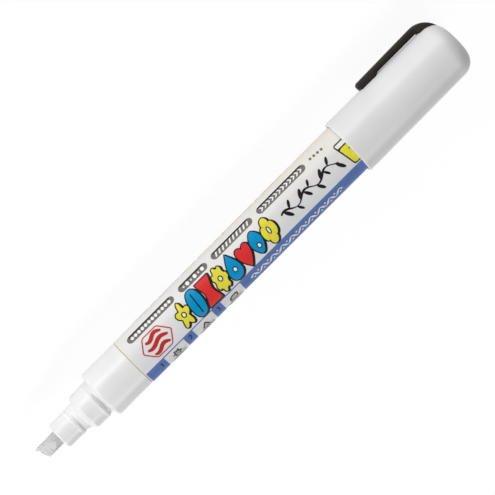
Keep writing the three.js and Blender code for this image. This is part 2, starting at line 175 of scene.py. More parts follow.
class MarkerColours(bpy.types.PropertyGroup):
    """Colours of the marker's finishes."""

    cap: colour("Cap", (0.70, 0.70, 0.705), "Outer cap")
    front: colour("Front", (0.75, 0.75, 0.75), "Collar and nose")
    core: colour("Core", (0.70, 0.72, 0.72), "Inner cap, plug and valve parts")
    tank: colour("Tank", (0.80, 0.72, 0.56), "Ink tank, seen as a line ahead of the label")
    clip: colour("Clip", (0.016, 0.0135, 0.011), "Clip")
    film: colour("Label", (0.70, 0.70, 0.71), "Unprinted label")
    film_warm: colour("Label tint", (0.72, 0.675, 0.605), "Warm tint of the label towards the cap")
    ink_red: colour("Red ink", (0.68, 0.03, 0.03), "Red figures")
    ink_crimson: colour("Dark red ink", (0.46, 0.025, 0.025), "Six-sided emblem")
    ink_sky: colour("Sky ink", (0.0, 0.27, 0.55), "Bright blue figures")
    ink_yellow: colour("Yellow ink", (0.74, 0.67, 0.05), "Yellow figures and pot")
    ink_dark: colour("Dark ink", (0.006, 0.0055, 0.0055), "Outlines, twig and numbers")
    ink_band: colour("Band ink", (0.095, 0.175, 0.445), "Blue band")
    ink_grey: colour("Grey ink", (0.16, 0.145, 0.13), "Badges, and the rules on the far side")
    ink_pale: colour("Pale ink", (0.50, 0.49, 0.48), "Shades and middles on the numbered panels")
    ink_white: colour("White ink", (0.78, 0.78, 0.78), "White print")
    felt: colour("Nib", (0.52, 0.52, 0.52), "Pressed skin of the nib")
    felt_cut: colour("Cut nib", (0.62, 0.62, 0.62), "Cut faces of the nib")
    steel: colour("Steel", (0.48, 0.48, 0.49), "Spring and mixing balls")
    rubber: colour("Rubber", (0.06, 0.06, 0.06), "Valve seat")


class MarkerStage(bpy.types.PropertyGroup):
    """Light and lens of the studio."""

    front_power: power("Front lamps", 5.0, "Power of the low lamps on the clip's side")
    nib_power: power("Nib lamps", 3.7, "Power of the low lamps on the nib's side")
    back_power: power("Back lamps", 3.9, "Power of the lamps above the marker's far side")
    ambient: FloatProperty(name="Ambient", description="Strength of the even light all round",
                           default=0.01, min=0)
    lens: FloatProperty(name="Lens", description="Focal length of the camera",
                        default=190.4, min=1, unit="CAMERA")


def lerp(a, b, t):
    """The value a share t of the way from a to b."""
    return a + (b - a) * t


def smooth_step(low, high, value):
    """0 below low, 1 above high and a smooth change between."""
    t = min(1.0, max(0.0, (value - low) / (high - low)))
    return t * t * (3 - 2 * t)


def arc_height(radius, off):
    """How high a circle stands at a distance off its middle."""
    return math.sqrt(max(0.0, radius ** 2 - off ** 2))


def mesh_object(name, verts, faces, weld=True):
    """A mesh object with outward faces, smooth but for its sharp edges."""
    mesh = bpy.data.meshes.new(name)
    mesh.from_pydata([tuple(v) for v in verts], [], faces)
    work = bmesh.new()
    work.from_mesh(mesh)
    if weld:
        bmesh.ops.remove_doubles(work, verts=work.verts, dist=WELD)
    bmesh.ops.recalc_face_normals(work, faces=work.faces)
    work.to_mesh(mesh)
    work.free()
    mesh.shade_smooth()
    mesh.set_sharp_from_angle(angle=SHARP_ANGLE)
    made = bpy.data.objects.new(name, mesh)
    bpy.context.scene.collection.objects.link(made)
    return made


def lay(piece, *finishes):
    """Turns a piece as the marker lies and gives it its finishes."""
    piece.data.transform(LYING)
    for name in finishes:
        piece.data.materials.append(finish(name))


def settle(piece, body, slot, finish_name, *nodes):
    """Lays a piece with its finish, ties it to its body and hides the CAD nodes it stands for. Its slot is
    not used.
    """
    lay(piece, finish_name)
    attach(piece, body)
    if nodes:
        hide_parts(*nodes)


def numbered(count, size):
    """The vertex numbers of a stack of rows, each with as many vertices."""
    return [list(range(row * size, (row + 1) * size)) for row in range(count)]


def skin(rows, closed=False):
    """Faces between the rings of one row and the next, and from the last to the first if closed."""
    faces = []
    pairs = list(zip(rows, rows[1:]))
    if closed:
        pairs.append((rows[-1], rows[0]))
    for one, two in pairs:
        for k in range(len(one)):
            m = (k + 1) % len(one)
            face = list(dict.fromkeys([one[k], one[m], two[m], two[k]]))
            if len(face) > 2:
                faces.append(face)
    return faces


def rounded(corners, ring):
    """The outline of corners (place, radius, round), with each round drawn as an arc.

    Where two rounds share a side, each has a part of it that goes by its size.
    """
    outline = []
    count = len(corners)
    for i, (place, radius, size) in enumerate(corners):
        here = Vector((place, radius))
        if size <= 0 or (not ring and i in (0, count - 1)):
            outline.append(here)
            continue
        ways, rooms = [], []
        for *beyond, size_beyond in (corners[i - 1], corners[(i + 1) % count]):
            way = Vector(beyond) - here
            rooms.append(ROUND_ROOM * way.length * size / (size + size_beyond))
            ways.append(way.normalized())
        half = ways[0].angle(ways[1]) / 2
        cut = min(size / math.tan(half), *rooms)
        size = cut * math.tan(half)
        centre = here + (ways[0] + ways[1]).normalized() * size / math.sin(half)
        first, last = (here + way * cut - centre for way in ways)
        sweep = math.atan2(first.x * last.y - first.y * last.x, first.dot(last))
        points = max(ROUND_POINTS, round(size / ROUND_STEP))
        for k in range(points + 1):
            outline.append(centre + Matrix.Rotation(sweep * k / points, 2) @ first)
    return outline


def supported(outline, ring):
    """The outline with a point close to both ends of each long stretch, which keeps the shading true."""
    full = []
    stretches = len(outline) if ring else len(outline) - 1
    for i in range(stretches):
        here, there = outline[i], outline[(i + 1) % len(outline)]
        full.append(here)
        length = (there - here).length
        if length > 4 * SUPPORT_EDGE:
            step = (there - here) * SUPPORT_EDGE / length
            full += [here + step, there - step]
    if not ring:
        full.append(outline[-1])
    return full


def turned(name, corners, ring=True, sides=ROUND_SIDES, radius_round=None):
    """A round piece about the marker's axis. Corners are (place, radius, round)."""
    outline = supported(rounded(corners, ring), ring)
    verts, rows = [], []
    for point in outline:
        if point.y < WELD:
            rows.append([len(verts)] * sides)
            verts.append((point.x, 0, 0))
            continue
        rows.append(list(range(len(verts), len(verts) + sides)))
        for k in range(sides):
            angle = 2 * math.pi * k / sides
            radius = radius_round(point.x, point.y, angle) if radius_round else point.y
            verts.append((point.x, -radius * math.sin(angle), radius * math.cos(angle)))
    return mesh_object(name, verts, skin(rows, closed=ring))


# Finishes


# Sockets of the mix node that belong to colours.
MIX_SHARE, MIX_FIRST, MIX_SECOND, MIX_RESULT = 0, 6, 7, 2


def new_group(name, **settings):
    """An empty shader group that reads coordinates and named settings."""
    group = bpy.data.node_groups.new(name, "ShaderNodeTree")
    group.interface.new_socket("Coordinates", in_out="INPUT", socket_type="NodeSocketVector")
    for label, value in settings.items():
        made = group.interface.new_socket(label, in_out="INPUT", socket_type="NodeSocketFloat")
        made.default_value = value
    return group, group.nodes.new("NodeGroupInput").outputs


def put_out(group, **values):
    """Gives a shader group its named outputs."""
    for label in values:
        group.interface.new_socket(label, in_out="OUTPUT", socket_type="NodeSocketFloat")
    end = group.nodes.new("NodeGroupOutput")
    for label, value in values.items():
        group.links.new(value, end.inputs[label])


def link_or_set(tree, target, value):
    """Links a socket to another, or sets it to a number."""
    if isinstance(value, (int, float)):
        target.default_value = value
    else:
        tree.links.new(value, target)


def noise_node(tree, vector, scale, detail, roughness=0.5, lengthwise=1.0):
    """A noise texture read at a vector. It can be drawn out along the marker by a scale below 1."""
    if lengthwise != 1.0:
        drawn_out = tree.nodes.new("ShaderNodeMapping")
        drawn_out.inputs["Scale"].default_value = (lengthwise, 1.0, 1.0)
        tree.links.new(vector, drawn_out.inputs["Vector"])
        vector = drawn_out.outputs["Vector"]
    node = tree.nodes.new("ShaderNodeTexNoise")
    node.inputs["Detail"].default_value = detail
    node.inputs["Roughness"].default_value = roughness
    tree.links.new(vector, node.inputs["Vector"])
    link_or_set(tree, node.inputs["Scale"], scale)
    return node.outputs["Fac"]


def mapped(tree, value, low, high, to_low=0.0, to_high=1.0):
    """A value taken from one range to another, without passing its ends."""
    node = tree.nodes.new("ShaderNodeMapRange")
    for label, number in (("From Min", low), ("From Max", high), ("To Min", to_low), ("To Max", to_high)):
        node.inputs[label].default_value = number
    tree.links.new(value, node.inputs["Value"])
    return node.outputs["Result"]


def maths(tree, operation, one, two):
    """A math node on two sockets or numbers."""
    node = tree.nodes.new("ShaderNodeMath")
    node.operation = operation
    for target, value in zip(node.inputs, (one, two)):
        link_or_set(tree, target, value)
    return node.outputs["Value"]


def weighed(tree, one, two, share):
    """Two values added up, the first by a share and the second by the rest."""
    return maths(tree, "ADD", maths(tree, "MULTIPLY", one, share), maths(tree, "MULTIPLY", two, 1 - share))


def moulded_plastic():
    """Moulded plastic: slow waves of tone and a fine skin."""
    group, given = new_group("moulded_plastic", Waves=60.0, Grain=2500.0)
    waves = noise_node(group, given["Coordinates"], given["Waves"], 2.0)
    grain = noise_node(group, given["Coordinates"], given["Grain"], 4.0, 0.6)
    flow = noise_node(group, given["Coordinates"], given["Waves"], 4.0, lengthwise=0.25)
    put_out(group, Tone=mapped(group, waves, 0.3, 0.7), Shine=mapped(group, flow, 0.3, 0.7),
            Relief=weighed(group, waves, grain, 0.35))


def handling_marks():
    """Hair-fine handling marks, gathered in patches, running mostly along the marker."""
    group, given = new_group("handling_marks", Fineness=900.0)
    hairs = noise_node(group, given["Coordinates"], given["Fineness"], 2.0, 0.7, lengthwise=0.06)
    patches = noise_node(group, given["Coordinates"], 90.0, 2.0)
    specks = noise_node(group, given["Coordinates"], 3200.0, 1.0)
    marks = maths(group, "MULTIPLY", mapped(group, hairs, 0.62, 0.72), mapped(group, patches, 0.5, 0.62))
    put_out(group, Marks=marks, Dust=mapped(group, specks, 0.70, 0.78))


def printed_ink():
    """Printed ink: a slight mottle of density and the texture of the film below."""
    group, given = new_group("printed_ink", Mottle=700.0)
    mottle = noise_node(group, given["Coordinates"], given["Mottle"], 3.0, 0.6)
    dots = noise_node(group, given["Coordinates"], 5200.0, 1.0)
    clouds = noise_node(group, given["Coordinates"], 140.0, 2.0)
    put_out(group, Density=mapped(group, mottle, 0.3, 0.7), Shine=mapped(group, clouds, 0.35, 0.65),
            Relief=weighed(group, mottle, dots, 0.4))


def group_node(tree, make_group, place, **settings):
    """A shader group placed in a material, read at a vector, with its own settings."""
    if make_group.__name__ not in bpy.data.node_groups:
        make_group()
    node = tree.nodes.new("ShaderNodeGroup")
    node.node_tree = bpy.data.node_groups[make_group.__name__]
    tree.links.new(place, node.inputs["Coordinates"])
    for name, value in settings.items():
        node.inputs[name].default_value = value
    return node.outputs


def new_material(name, roughness, specular=0.5):
    """Makes a material and gives its node tree, its shader and its object coordinates."""
    made = bpy.data.materials.new(name)
    made.use_nodes = True
    tree = made.node_tree
    shader = tree.nodes["Principled BSDF"]
    shader.inputs["Roughness"].default_value = roughness
    shader.inputs["Specular IOR Level"].default_value = specular
    place = tree.nodes.new("ShaderNodeTexCoord").outputs["Object"]
    return tree, shader, place


def blend_colours(tree, share, one, two):
    """A colour between two, by a share that changes over the surface."""
    node = tree.nodes.new("ShaderNodeMix")
    node.data_type = "RGBA"
    for target, value in ((node.inputs[MIX_FIRST], one), (node.inputs[MIX_SECOND], two)):
        if hasattr(value, "node"):
            tree.links.new(value, target)
        else:
            target.default_value = (*value, 1.0)
    tree.links.new(share, node.inputs[MIX_SHARE])
    return node.outputs[MIX_RESULT]


def shaded(value, share):
    """A colour made darker or lighter by a share."""
    return tuple(min(1.0, channel * share) for channel in value)


def dress(tree, shader, tone, rough, height=None, depth=0.0):
    """Gives a shader its changing colour and roughness, and relief from a height if there is one."""
    tree.links.new(tone, shader.inputs["Base Color"])
    tree.links.new(rough, shader.inputs["Roughness"])
    if height is not None:
        node = tree.nodes.new("ShaderNodeBump")
        node.inputs["Distance"].default_value = depth
        tree.links.new(height, node.inputs["Height"])
        tree.links.new(node.outputs["Normal"], shader.inputs["Normal"])


def plastic(name, value, roughness, specular=0.5, relief=0.004 * MM, variation=0.05, grain=2500.0,
            wear=0.5):
    """Moulded plastic with a fine skin, slow changes of tone and faint handling marks."""
    tree, shader, place = new_material(name, roughness, specular)
    surface = group_node(tree, moulded_plastic, place, Grain=grain)
    marks = group_node(tree, handling_marks, place)
    dark, light = shaded(value, 1 - variation), shaded(value, 1 + variation / 2)
    tone = blend_colours(tree, surface["Tone"], dark, light)
    dust = maths(tree, "MULTIPLY", marks["Dust"], 0.25 * wear)
    dusty = blend_colours(tree, dust, tone, shaded(value, 0.8))
    gloss = mapped(tree, surface["Shine"], 0, 1, roughness - 0.03, roughness + 0.03)
    rough = maths(tree, "ADD", gloss, maths(tree, "MULTIPLY", marks["Marks"], 0.12 * wear))
    dress(tree, shader, dusty, rough, surface["Relief"], relief)


def ink(name, value):
    """Ink printed on the film."""
    tree, shader, place = new_material(name, 0.45, 0.12)
    print_look = group_node(tree, printed_ink, place)
    tone = blend_colours(tree, print_look["Density"], shaded(value, 0.92), shaded(value, 1.05))
    dress(tree, shader, tone, mapped(tree, print_look["Shine"], 0, 1, 0.41, 0.49), print_look["Relief"],
          0.002 * MM)


def label_film(name, value):
    """Unprinted label: white film with a warm tint that grows towards the cap and the clip's side."""
    tree, shader, place = new_material(name, 0.42, 0.2)
    warm = bpy.context.scene.marker_colours.film_warm
    tint_starts, tint_full = 2 * MM, -8 * MM
    upright = tree.nodes.new("ShaderNodeVectorRotate")
    upright.rotation_type = "X_AXIS"
    upright.inputs["Angle"].default_value = -LYING.to_euler().x
    tree.links.new(place, upright.inputs["Vector"])
    split = tree.nodes.new("ShaderNodeSeparateXYZ")
    tree.links.new(upright.outputs["Vector"], split.inputs["Vector"])
    to_cap = mapped(tree, split.outputs["X"], LABEL_FRONT, CAP_MOUTH, 0.15, 1.0)
    to_clip = mapped(tree, split.outputs["Y"], tint_starts, tint_full)
    film = group_node(tree, printed_ink, place, Mottle=300.0)
    tone = blend_colours(tree, film["Density"], shaded(value, 0.985), shaded(value, 1.01))
    tinted = blend_colours(tree, maths(tree, "MULTIPLY", to_cap, to_clip), tone, warm)
    dress(tree, shader, tinted, mapped(tree, film["Shine"], 0, 1, 0.38, 0.46), film["Relief"], 0.0015 * MM)


def pressed_felt(name, value):
    """Pressed fibre: strands along the nib and pores between them."""
    tree, shader, place = new_material(name, 0.9, 0.25)
    strands = noise_node(tree, place, 3600.0, 5.0, 0.65, lengthwise=0.16)
    pores = noise_node(tree, place, 2300.0, 4.0, 0.7)
    mixed = weighed(tree, strands, pores, 0.6)
    tone = blend_colours(tree, mapped(tree, mixed, 0.36, 0.64), shaded(value, 0.8), shaded(value, 1.14))
    dress(tree, shader, tone, mapped(tree, mixed, 0.3, 0.7, 0.8, 0.98), mixed, 0.12 * MM)


def drawn_steel(name, value):
    """Drawn and polished steel with fine lines."""
    tree, shader, place = new_material(name, 0.25)
    shader.inputs["Metallic"].default_value = 1.0
    lines = noise_node(tree, place, 4000.0, 3.0, lengthwise=0.2)
    tone = blend_colours(tree, lines, shaded(value, 0.9), shaded(value, 1.1))
    dress(tree, shader, tone, mapped(tree, lines, 0.3, 0.7, 0.18, 0.34))


FINISHES = {
    "cap_white": (plastic, "cap", dict(roughness=0.4, specular=0.4)),
    "front_white": (plastic, "front", dict(roughness=0.36, specular=0.45)),
    "core_natural": (plastic, "core", dict(roughness=0.5, grain=1800.0)),
    "tank_cream": (plastic, "tank", dict(roughness=0.4)),
    "clip_black": (plastic, "clip",
                   dict(roughness=0.5, specular=0.15, relief=0.01 * MM, variation=0.2, wear=1.0)),
    "seat_rubber": (plastic, "rubber", dict(roughness=0.8, relief=0.01 * MM)),
    "label_film_white": (label_film, "film", {}),
    "nib_skin": (pressed_felt, "felt", {}),
    "nib_cut": (pressed_felt, "felt_cut", {}),
    "bright_steel": (drawn_steel, "steel", {}),
}


def finish(name):
    """A material of the marker, made the first time that it is asked for. An ink's name is its colour's."""
    if name not in bpy.data.materials:
        make, colour_name, settings = FINISHES.get(name, (ink, name, {}))
        make(name, getattr(bpy.context.scene.marker_colours, colour_name), **settings)
    return bpy.data.materials[name]


# Cap


class MARKER_OT_cap(bpy.types.Operator):
    """Adds the outer cap and the inner cap that seals on the nose"""

    bl_idname = "marker.cap"
    bl_label = "Cap"

    def execute(self, context):
        """Turns the two caps."""
        shape = context.scene.marker_shape
        bore = CAP_RADIUS - shape.cap_wall
        inner_end = CAP_END + 1.4 * MM
        gate_floor = CAP_END + 0.18 * MM
        gate_radius = 1.3 * MM
        shell = turned("cap_outer", [
            (gate_floor, 0, 0),
            (gate_floor, gate_radius, 0.1 * MM),
            (CAP_END, gate_radius, 0.12 * MM),
            (CAP_END, CAP_RADIUS - shape.cap_taper, shape.cap_shoulder),
            (CAP_MOUTH, CAP_RADIUS, shape.cap_lip_round),
            (CAP_MOUTH, bore, 0.25 * MM),
            (inner_end, bore, shape.cap_shoulder - 0.8 * MM),
            (inner_end, 0, 0),
        ], ring=False)
        settle(shell, "cap", "cap_plastic", "cap_white", "cap_shell")
        flange_start, flange_end = 9.5 * MM, 11.5 * MM
        seal_radius = radius_at("inner_cap", INNER_CAP_LIP - 2 * MM, 1.8 * MM)
        flange_radius = radius_at("inner_cap", (flange_start + flange_end) / 2, 1.5 * MM)
        seal_wall = 0.85 * MM
        seal_bore = seal_radius - seal_wall
        end_round = 2.5 * MM
        lip_round = 0.28 * MM
        liner = turned("cap_inner_seal", [
            (INNER_CAP_END, 0, 0),
            (INNER_CAP_END, seal_radius, end_round),
            (flange_start, seal_radius, 0.3 * MM),
            (flange_start, flange_radius, 0.2 * MM),
            (flange_end, flange_radius, 0.2 * MM),
            (flange_end, seal_radius, 0.3 * MM),
            (INNER_CAP_LIP, seal_radius, lip_round),
            (INNER_CAP_LIP, seal_bore, lip_round),
            (INNER_CAP_END + seal_wall, seal_bore, end_round - seal_wall),
            (INNER_CAP_END + seal_wall, 0, 0),
        ], ring=False)
        settle(liner, "cap", "core_plastic", "core_natural", "inner_cap")
        return {"FINISHED"}


# Clip


# The clip starts as a tongue on the cap's shoulder, bends over it, runs on as a free arm with a pad
# on the cap near its end, and ends in a short nose that drops.
CLIP_TOP_RADIUS = CAP_RADIUS + 2.38 * MM
CLIP_BEND_RADIUS = 6.6 * MM
CLIP_BEND_END = CLIP_TIP + CLIP_BEND_RADIUS
CLIP_DROP = 0.33 * MM
CLIP_TONGUE = 0.75 * MM
CLIP_TONGUE_RAMP = 1.3 * MM
CLIP_UNDERSIDE = CAP_RADIUS + 0.04 * MM
CLIP_END = CLIP_FREE_END - 0.45 * MM
CLIP_CORNER = 0.9 * MM
CLIP_NOSE_LENGTH = 0.8 * MM
CLIP_NOSE_DROP = 0.45 * MM
CLIP_PAD_END = CLIP_END - 0.7 * MM
CLIP_PAD_START = CLIP_PAD_END - 5.0 * MM
CLIP_PAD_RAMP = 2.0 * MM
CLIP_PAD_GAP = 0.05 * MM
CLIP_SUNK = 0.4 * MM
CLIP_UNDERCUT = 0.55 * MM


def cap_radius_at(shape, x):
    """Radius of the cap's outside at a place."""
    shoulder = shape.cap_shoulder
    end_radius = CAP_RADIUS - shape.cap_taper
    if x < shoulder:
        return end_radius - shoulder + arc_height(shoulder, shoulder - max(x, 0))
    return lerp(end_radius, CAP_RADIUS, (x - shoulder) / (CAP_MOUTH - shoulder))


def clip_top_at(shape, x):
    """Radius of the clip's top, which near its tip lies as a thin tongue on the cap's shoulder."""
    bend = CLIP_TOP_RADIUS - CLIP_BEND_RADIUS + arc_height(CLIP_BEND_RADIUS, max(0.0, CLIP_BEND_END - x))
    drop = CLIP_DROP * max(0.0, x - CLIP_BEND_END) / (CLIP_FREE_END - CLIP_BEND_END)
    rise = smooth_step(CLIP_TIP - 0.2 * MM, CLIP_TIP + CLIP_TONGUE_RAMP, x)
    nose = smooth_step(CLIP_END - CLIP_NOSE_LENGTH, CLIP_END, x)
    return max(bend - drop, cap_radius_at(shape, x) + CLIP_TONGUE * rise) - CLIP_NOSE_DROP * nose ** 2


def clip_half_width_at(shape, x):
    """Half the clip's width at a place, round at its tip and at the corners of its free end."""
    widest = shape.clip_root_width / 2
    tip = CLIP_TIP + widest
    if x < tip:
        return arc_height(widest, tip - x)
    half = lerp(widest, shape.clip_width / 2, smooth_step(tip, CLIP_BEND_END + 0.5 * MM, x))
    return half - CLIP_CORNER + arc_height(CLIP_CORNER, max(0.0, x - CLIP_END + CLIP_CORNER))


def clip_section(shape, x):
    """A loop of points round the clip at a place, as (across, outwards)."""
    half = max(clip_half_width_at(shape, x), 0.02 * MM)
    top = clip_top_at(shape, x)
    cap = cap_radius_at(shape, x)
    on_pad = smooth_step(CLIP_PAD_START - CLIP_PAD_RAMP, CLIP_PAD_START, x)
    on_pad *= 1 - smooth_step(CLIP_PAD_END - 0.1 * MM, CLIP_END, x)
    free = smooth_step(CLIP_BEND_END - 1.4 * MM, CLIP_BEND_END - 0.5 * MM, x)
    edge = min(shape.clip_edge_round, 0.9 * half, 0.45 * (top - cap + CLIP_SUNK))
    undercut = CLIP_UNDERCUT * free * (1 - on_pad) * min(1.0, half / (2 * MM))
    steps, edge_steps = 8, 4
    under = []
    for k in range(steps + 1):
        across = lerp(-1, 1, k / steps) * (half - 0.3 * edge - undercut)
        arm_level = lerp(CLIP_UNDERSIDE, arc_height(cap + CLIP_PAD_GAP, across), on_pad)
        under.append((across, lerp(arc_height(cap - CLIP_SUNK, across), arm_level, free)))
    low = under[-1][1]
    high = arc_height(top, half)
    right = [
        (half - 0.6 * undercut, lerp(low, high, 0.22)),
        (half, lerp(low, high, 0.5)),
        (half, high - 1.1 * edge),
    ]
    for k in range(1, edge_steps + 1):
        angle = 0.5 * math.pi * k / edge_steps
        across = half - edge + edge * math.cos(angle)
        right.append((across, arc_height(top, across) - edge + edge * math.sin(angle)))
    left = [(-across, out) for across, out in reversed(right)]
    crest = [(half - edge) * (1 - 2 * k / steps) for k in range(1, steps)]
    return under + right + [(across, arc_height(top, across)) for across in crest] + left


class MARKER_OT_clip(bpy.types.Operator):
    """Adds the clip, which bends between its root on the cap and its free arm"""

    bl_idname = "marker.clip"
    bl_label = "Clip"

    def execute(self, context):
        """Sweeps the clip's section from its tip to its free end."""
        shape = context.scene.marker_shape
        widest = shape.clip_root_width / 2
        tip_steps, arm_steps, end_steps = 14, 60, 8
        end_length = 1 * MM
        stations = [CLIP_TIP + widest * (1 - math.cos(0.5 * math.pi * k / tip_steps))
                    for k in range(1, tip_steps + 1)]
        arm_start = stations[-1]
        stations += [lerp(arm_start, CLIP_END - end_length, k / arm_steps) for k in range(1, arm_steps + 1)]
        stations += [CLIP_END - end_length * math.cos(0.5 * math.pi * k / end_steps)
                     for k in range(1, end_steps + 1)]
        loops = [clip_section(shape, x) for x in stations]
        verts = [(x, -out, across) for x, loop in zip(stations, loops) for across, out in loop]
        rows = numbered(len(loops), len(loops[0]))
        faces = skin(rows)
        for ring in (rows[0], rows[-1]):
            middle = sum((Vector(verts[i]) for i in ring), Vector()) / len(ring)
            faces += [[ring[k - 1], ring[k], len(verts)] for k in range(len(ring))]
            verts.append(tuple(middle))
        clip = mesh_object("clip", verts, faces)
        lay(clip, "clip_black")
        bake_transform(clip)
        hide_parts("clip_root", "clip_arm")
        return {"FINISHED"}


# Barrel


class MARKER_OT_barrel(bpy.types.Operator):
    """Adds the ink tank and the plug in its tail"""

    bl_idname = "marker.barrel"
    bl_label = "Barrel"

    def execute(self, context):
        """Turns the tank and its plug."""
        shape = context.scene.marker_shape
        under_film = shape.label_thickness + 0.02 * MM
        plug_radius = radius_at("tail_plug", (PLUG_REAR + PLUG_FRONT) / 2, 3 * MM)
        bore = plug_radius + 0.02 * MM
        tail_ring_end = LABEL_TAIL - 0.05 * MM
        front_ring_start = LABEL_FRONT + 0.02 * MM
        front_ring_radius = LABEL_FRONT_RADIUS - 0.05 * MM
        tank = turned("ink_tank", [
            (BARREL_TAIL, LABEL_TAIL_RADIUS, 0.45 * MM),
            (tail_ring_end, LABEL_TAIL_RADIUS, 0.04 * MM),
            (tail_ring_end, LABEL_TAIL_RADIUS - under_film, 0),
            (front_ring_start, LABEL_FRONT_RADIUS - under_film, 0),
            (front_ring_start, front_ring_radius, 0),
            (BARREL_FRONT, front_ring_radius, 0.08 * MM),
            (BARREL_FRONT, bore, 0),
            (BARREL_TAIL, bore, 0.15 * MM),
        ])
        settle(tank, "barrel", "tank_plastic", "tank_cream", "barrel_tube")
        dimple = PLUG_REAR + 0.4 * MM
        cup_floor = PLUG_REAR + 1.4 * MM
        cup_bore = plug_radius - 1.0 * MM
        plug = turned("tail_plug_cup", [
            (dimple, 0, 0),
            (dimple, 0.6 * plug_radius, 0.2 * MM),
            (PLUG_REAR, 0.68 * plug_radius, 0.2 * MM),
            (PLUG_REAR, plug_radius, 0.5 * MM),
            (PLUG_FRONT, plug_radius, 0.5 * MM),
            (PLUG_FRONT, cup_bore, 0.2 * MM),
            (cup_floor, cup_bore, 0.8 * MM),
            (cup_floor, 0, 0),
        ], ring=False)
        settle(plug, "barrel", "core_plastic", "core_natural", "tail_plug")
        return {"FINISHED"}


# Label. Places on it are (u, v) in millimetres: u runs back from the label's front edge and v runs
# round the barrel from the front of the label, upwards to the clip's side.


def label_radius_at(x):
    """Radius of the label's outside at a place."""
    return lerp(LABEL_TAIL_RADIUS, LABEL_FRONT_RADIUS, (x - LABEL_TAIL) / (LABEL_FRONT - LABEL_TAIL))


LABEL_LENGTH = (LABEL_FRONT - LABEL_TAIL) / MM
MIDDLE_RADIUS = label_radius_at((LABEL_TAIL + LABEL_FRONT) / 2)
OUTLINE = 0.42
DIGIT_PEN = 0.36

# Flat shapes are cut across at every step, so that they can bend round the barrel.
CUT_STEP = 0.3
FLAT_WELD = 1e-4

# How far a corner of a grown shape may stretch out, as the cosine of half its turn.
SHARPEST_CORNER = 0.6

INKS = ("ink_red", "ink_crimson", "ink_sky", "ink_yellow", "ink_dark", "ink_band", "ink_grey", "ink_pale",
        "ink_white")


def wrapped(u, v, height):
    """The point over the label at (u, v)."""
    x = LABEL_FRONT - u * MM
    radius = label_radius_at(x) + height
    angle = v * MM / MIDDLE_RADIUS
    return (x, -radius * math.sin(angle), radius * math.cos(angle))


def polar(radius_at_angle, points=48):
    """A closed shape about the middle of its cell, from its radius at each angle."""
    angles = [2 * math.pi * k / points for k in range(points)]
    return [(radius_at_angle(a) * math.cos(a), radius_at_angle(a) * math.sin(a)) for a in angles]


def placed(shape, centre, half, lean=0.0):
    """A shape of a cell from -1 to 1 both ways, set at a centre with half a length and half a height."""
    return [(centre[0] + half[0] * u + lean * half[1] * v, centre[1] + half[1] * v) for u, v in shape]


def oval(u, v, half_u, half_v, points, turn=0.0):
    """A closed oval."""
    centre, turned_by = Vector((u, v)), Matrix.Rotation(turn, 2)
    return [tuple(centre + turned_by @ Vector((half_u * a, half_v * b)))
            for a, b in polar(lambda angle: 1, points)]


def panel(u0, u1, v0, v1, corner, points=6):
    """A box with round corners."""
    corner = min(corner, (u1 - u0) / 2 - FLAT_WELD, (v1 - v0) / 2 - FLAT_WELD)
    left, right, low, high = u0 + corner, u1 - corner, v0 + corner, v1 - corner
    shape = []
    for i, (cu, cv) in enumerate(((right, high), (left, high), (left, low), (right, low))):
        for k in range(points + 1):
            angle = 0.5 * math.pi * (i + k / points)
            shape.append((cu + corner * math.cos(angle), cv + corner * math.sin(angle)))
    return shape


def smoothed(corners, share, rounds=3):
    """A closed shape with its corners cut off again and again until they are round."""
    for _ in range(rounds):
        cut = []
        for i, (u, v) in enumerate(corners):
            next_u, next_v = corners[(i + 1) % len(corners)]
            for t in (share, 1 - share):
                cut.append((lerp(u, next_u, t), lerp(v, next_v, t)))
        corners = cut
    return corners


def grown(shape, margin):
    """A closed shape, counter-clockwise, moved out all round by a margin."""
    out = []
    for i, here in enumerate(shape):
        here = Vector(here)
        back = (here - Vector(shape[i - 1])).normalized()
        ahead = (Vector(shape[(i + 1) % len(shape)]) - here).normalized()
        outwards = Vector((ahead.y, -ahead.x))
        normal = Vector((back.y + ahead.y, -back.x - ahead.x)).normalized()
        out.append(tuple(here + normal * margin / max(SHARPEST_CORNER, normal.dot(outwards))))
    return out


def stroke(path, widths):
    """Quads along an open path, with the pen's width at each of its points."""
    left, right = [], []
    for i, here in enumerate(path):
        ahead = Vector(path[min(i + 1, len(path) - 1)]) - Vector(path[max(i - 1, 0)])
        normal = Vector((-ahead.y, ahead.x)).normalized() * widths[i] / 2
        left.append(tuple(Vector(here) + normal))
        right.append(tuple(Vector(here) - normal))
    return [[left[i], left[i + 1], right[i + 1], right[i]] for i in range(len(path) - 1)]


def drawn(steps, place, width, start=0.0):
    """A stroke along a curve, from the place and the pen's width at each share up to 1."""
    shares = [lerp(start, 1.0, k / steps) for k in range(steps + 1)]
    return stroke([place(t) for t in shares], [width(t) for t in shares])


def frame_between(outer, inner):
    """Quads that fill the space between two closed shapes with as many points."""
    count = len(outer)
    return [[outer[i], outer[(i + 1) % count], inner[(i + 1) % count], inner[i]] for i in range(count)]


# Each motif gives (ink, layer, shapes). The shapes of one entry are joined where they touch.


DIAMOND = smoothed([(0, -1), (1, 0), (0, 1), (-1, 0)], 0.12, 1)
SLASH = [(-0.9, -1), (-0.1, -1), (0.9, 1), (0.1, 1)]
CHEVRON = [(-1, -1), (-0.2, -1), (0.8, 0), (-0.2, 1), (-1, 1), (0, 0)]
DOTS = "dots"
BADGES = ((2.6, 20.4, DIAMOND), (22.6, 33.4, DOTS), (35.4, 51.0, SLASH), (53.2, 71.8, CHEVRON))


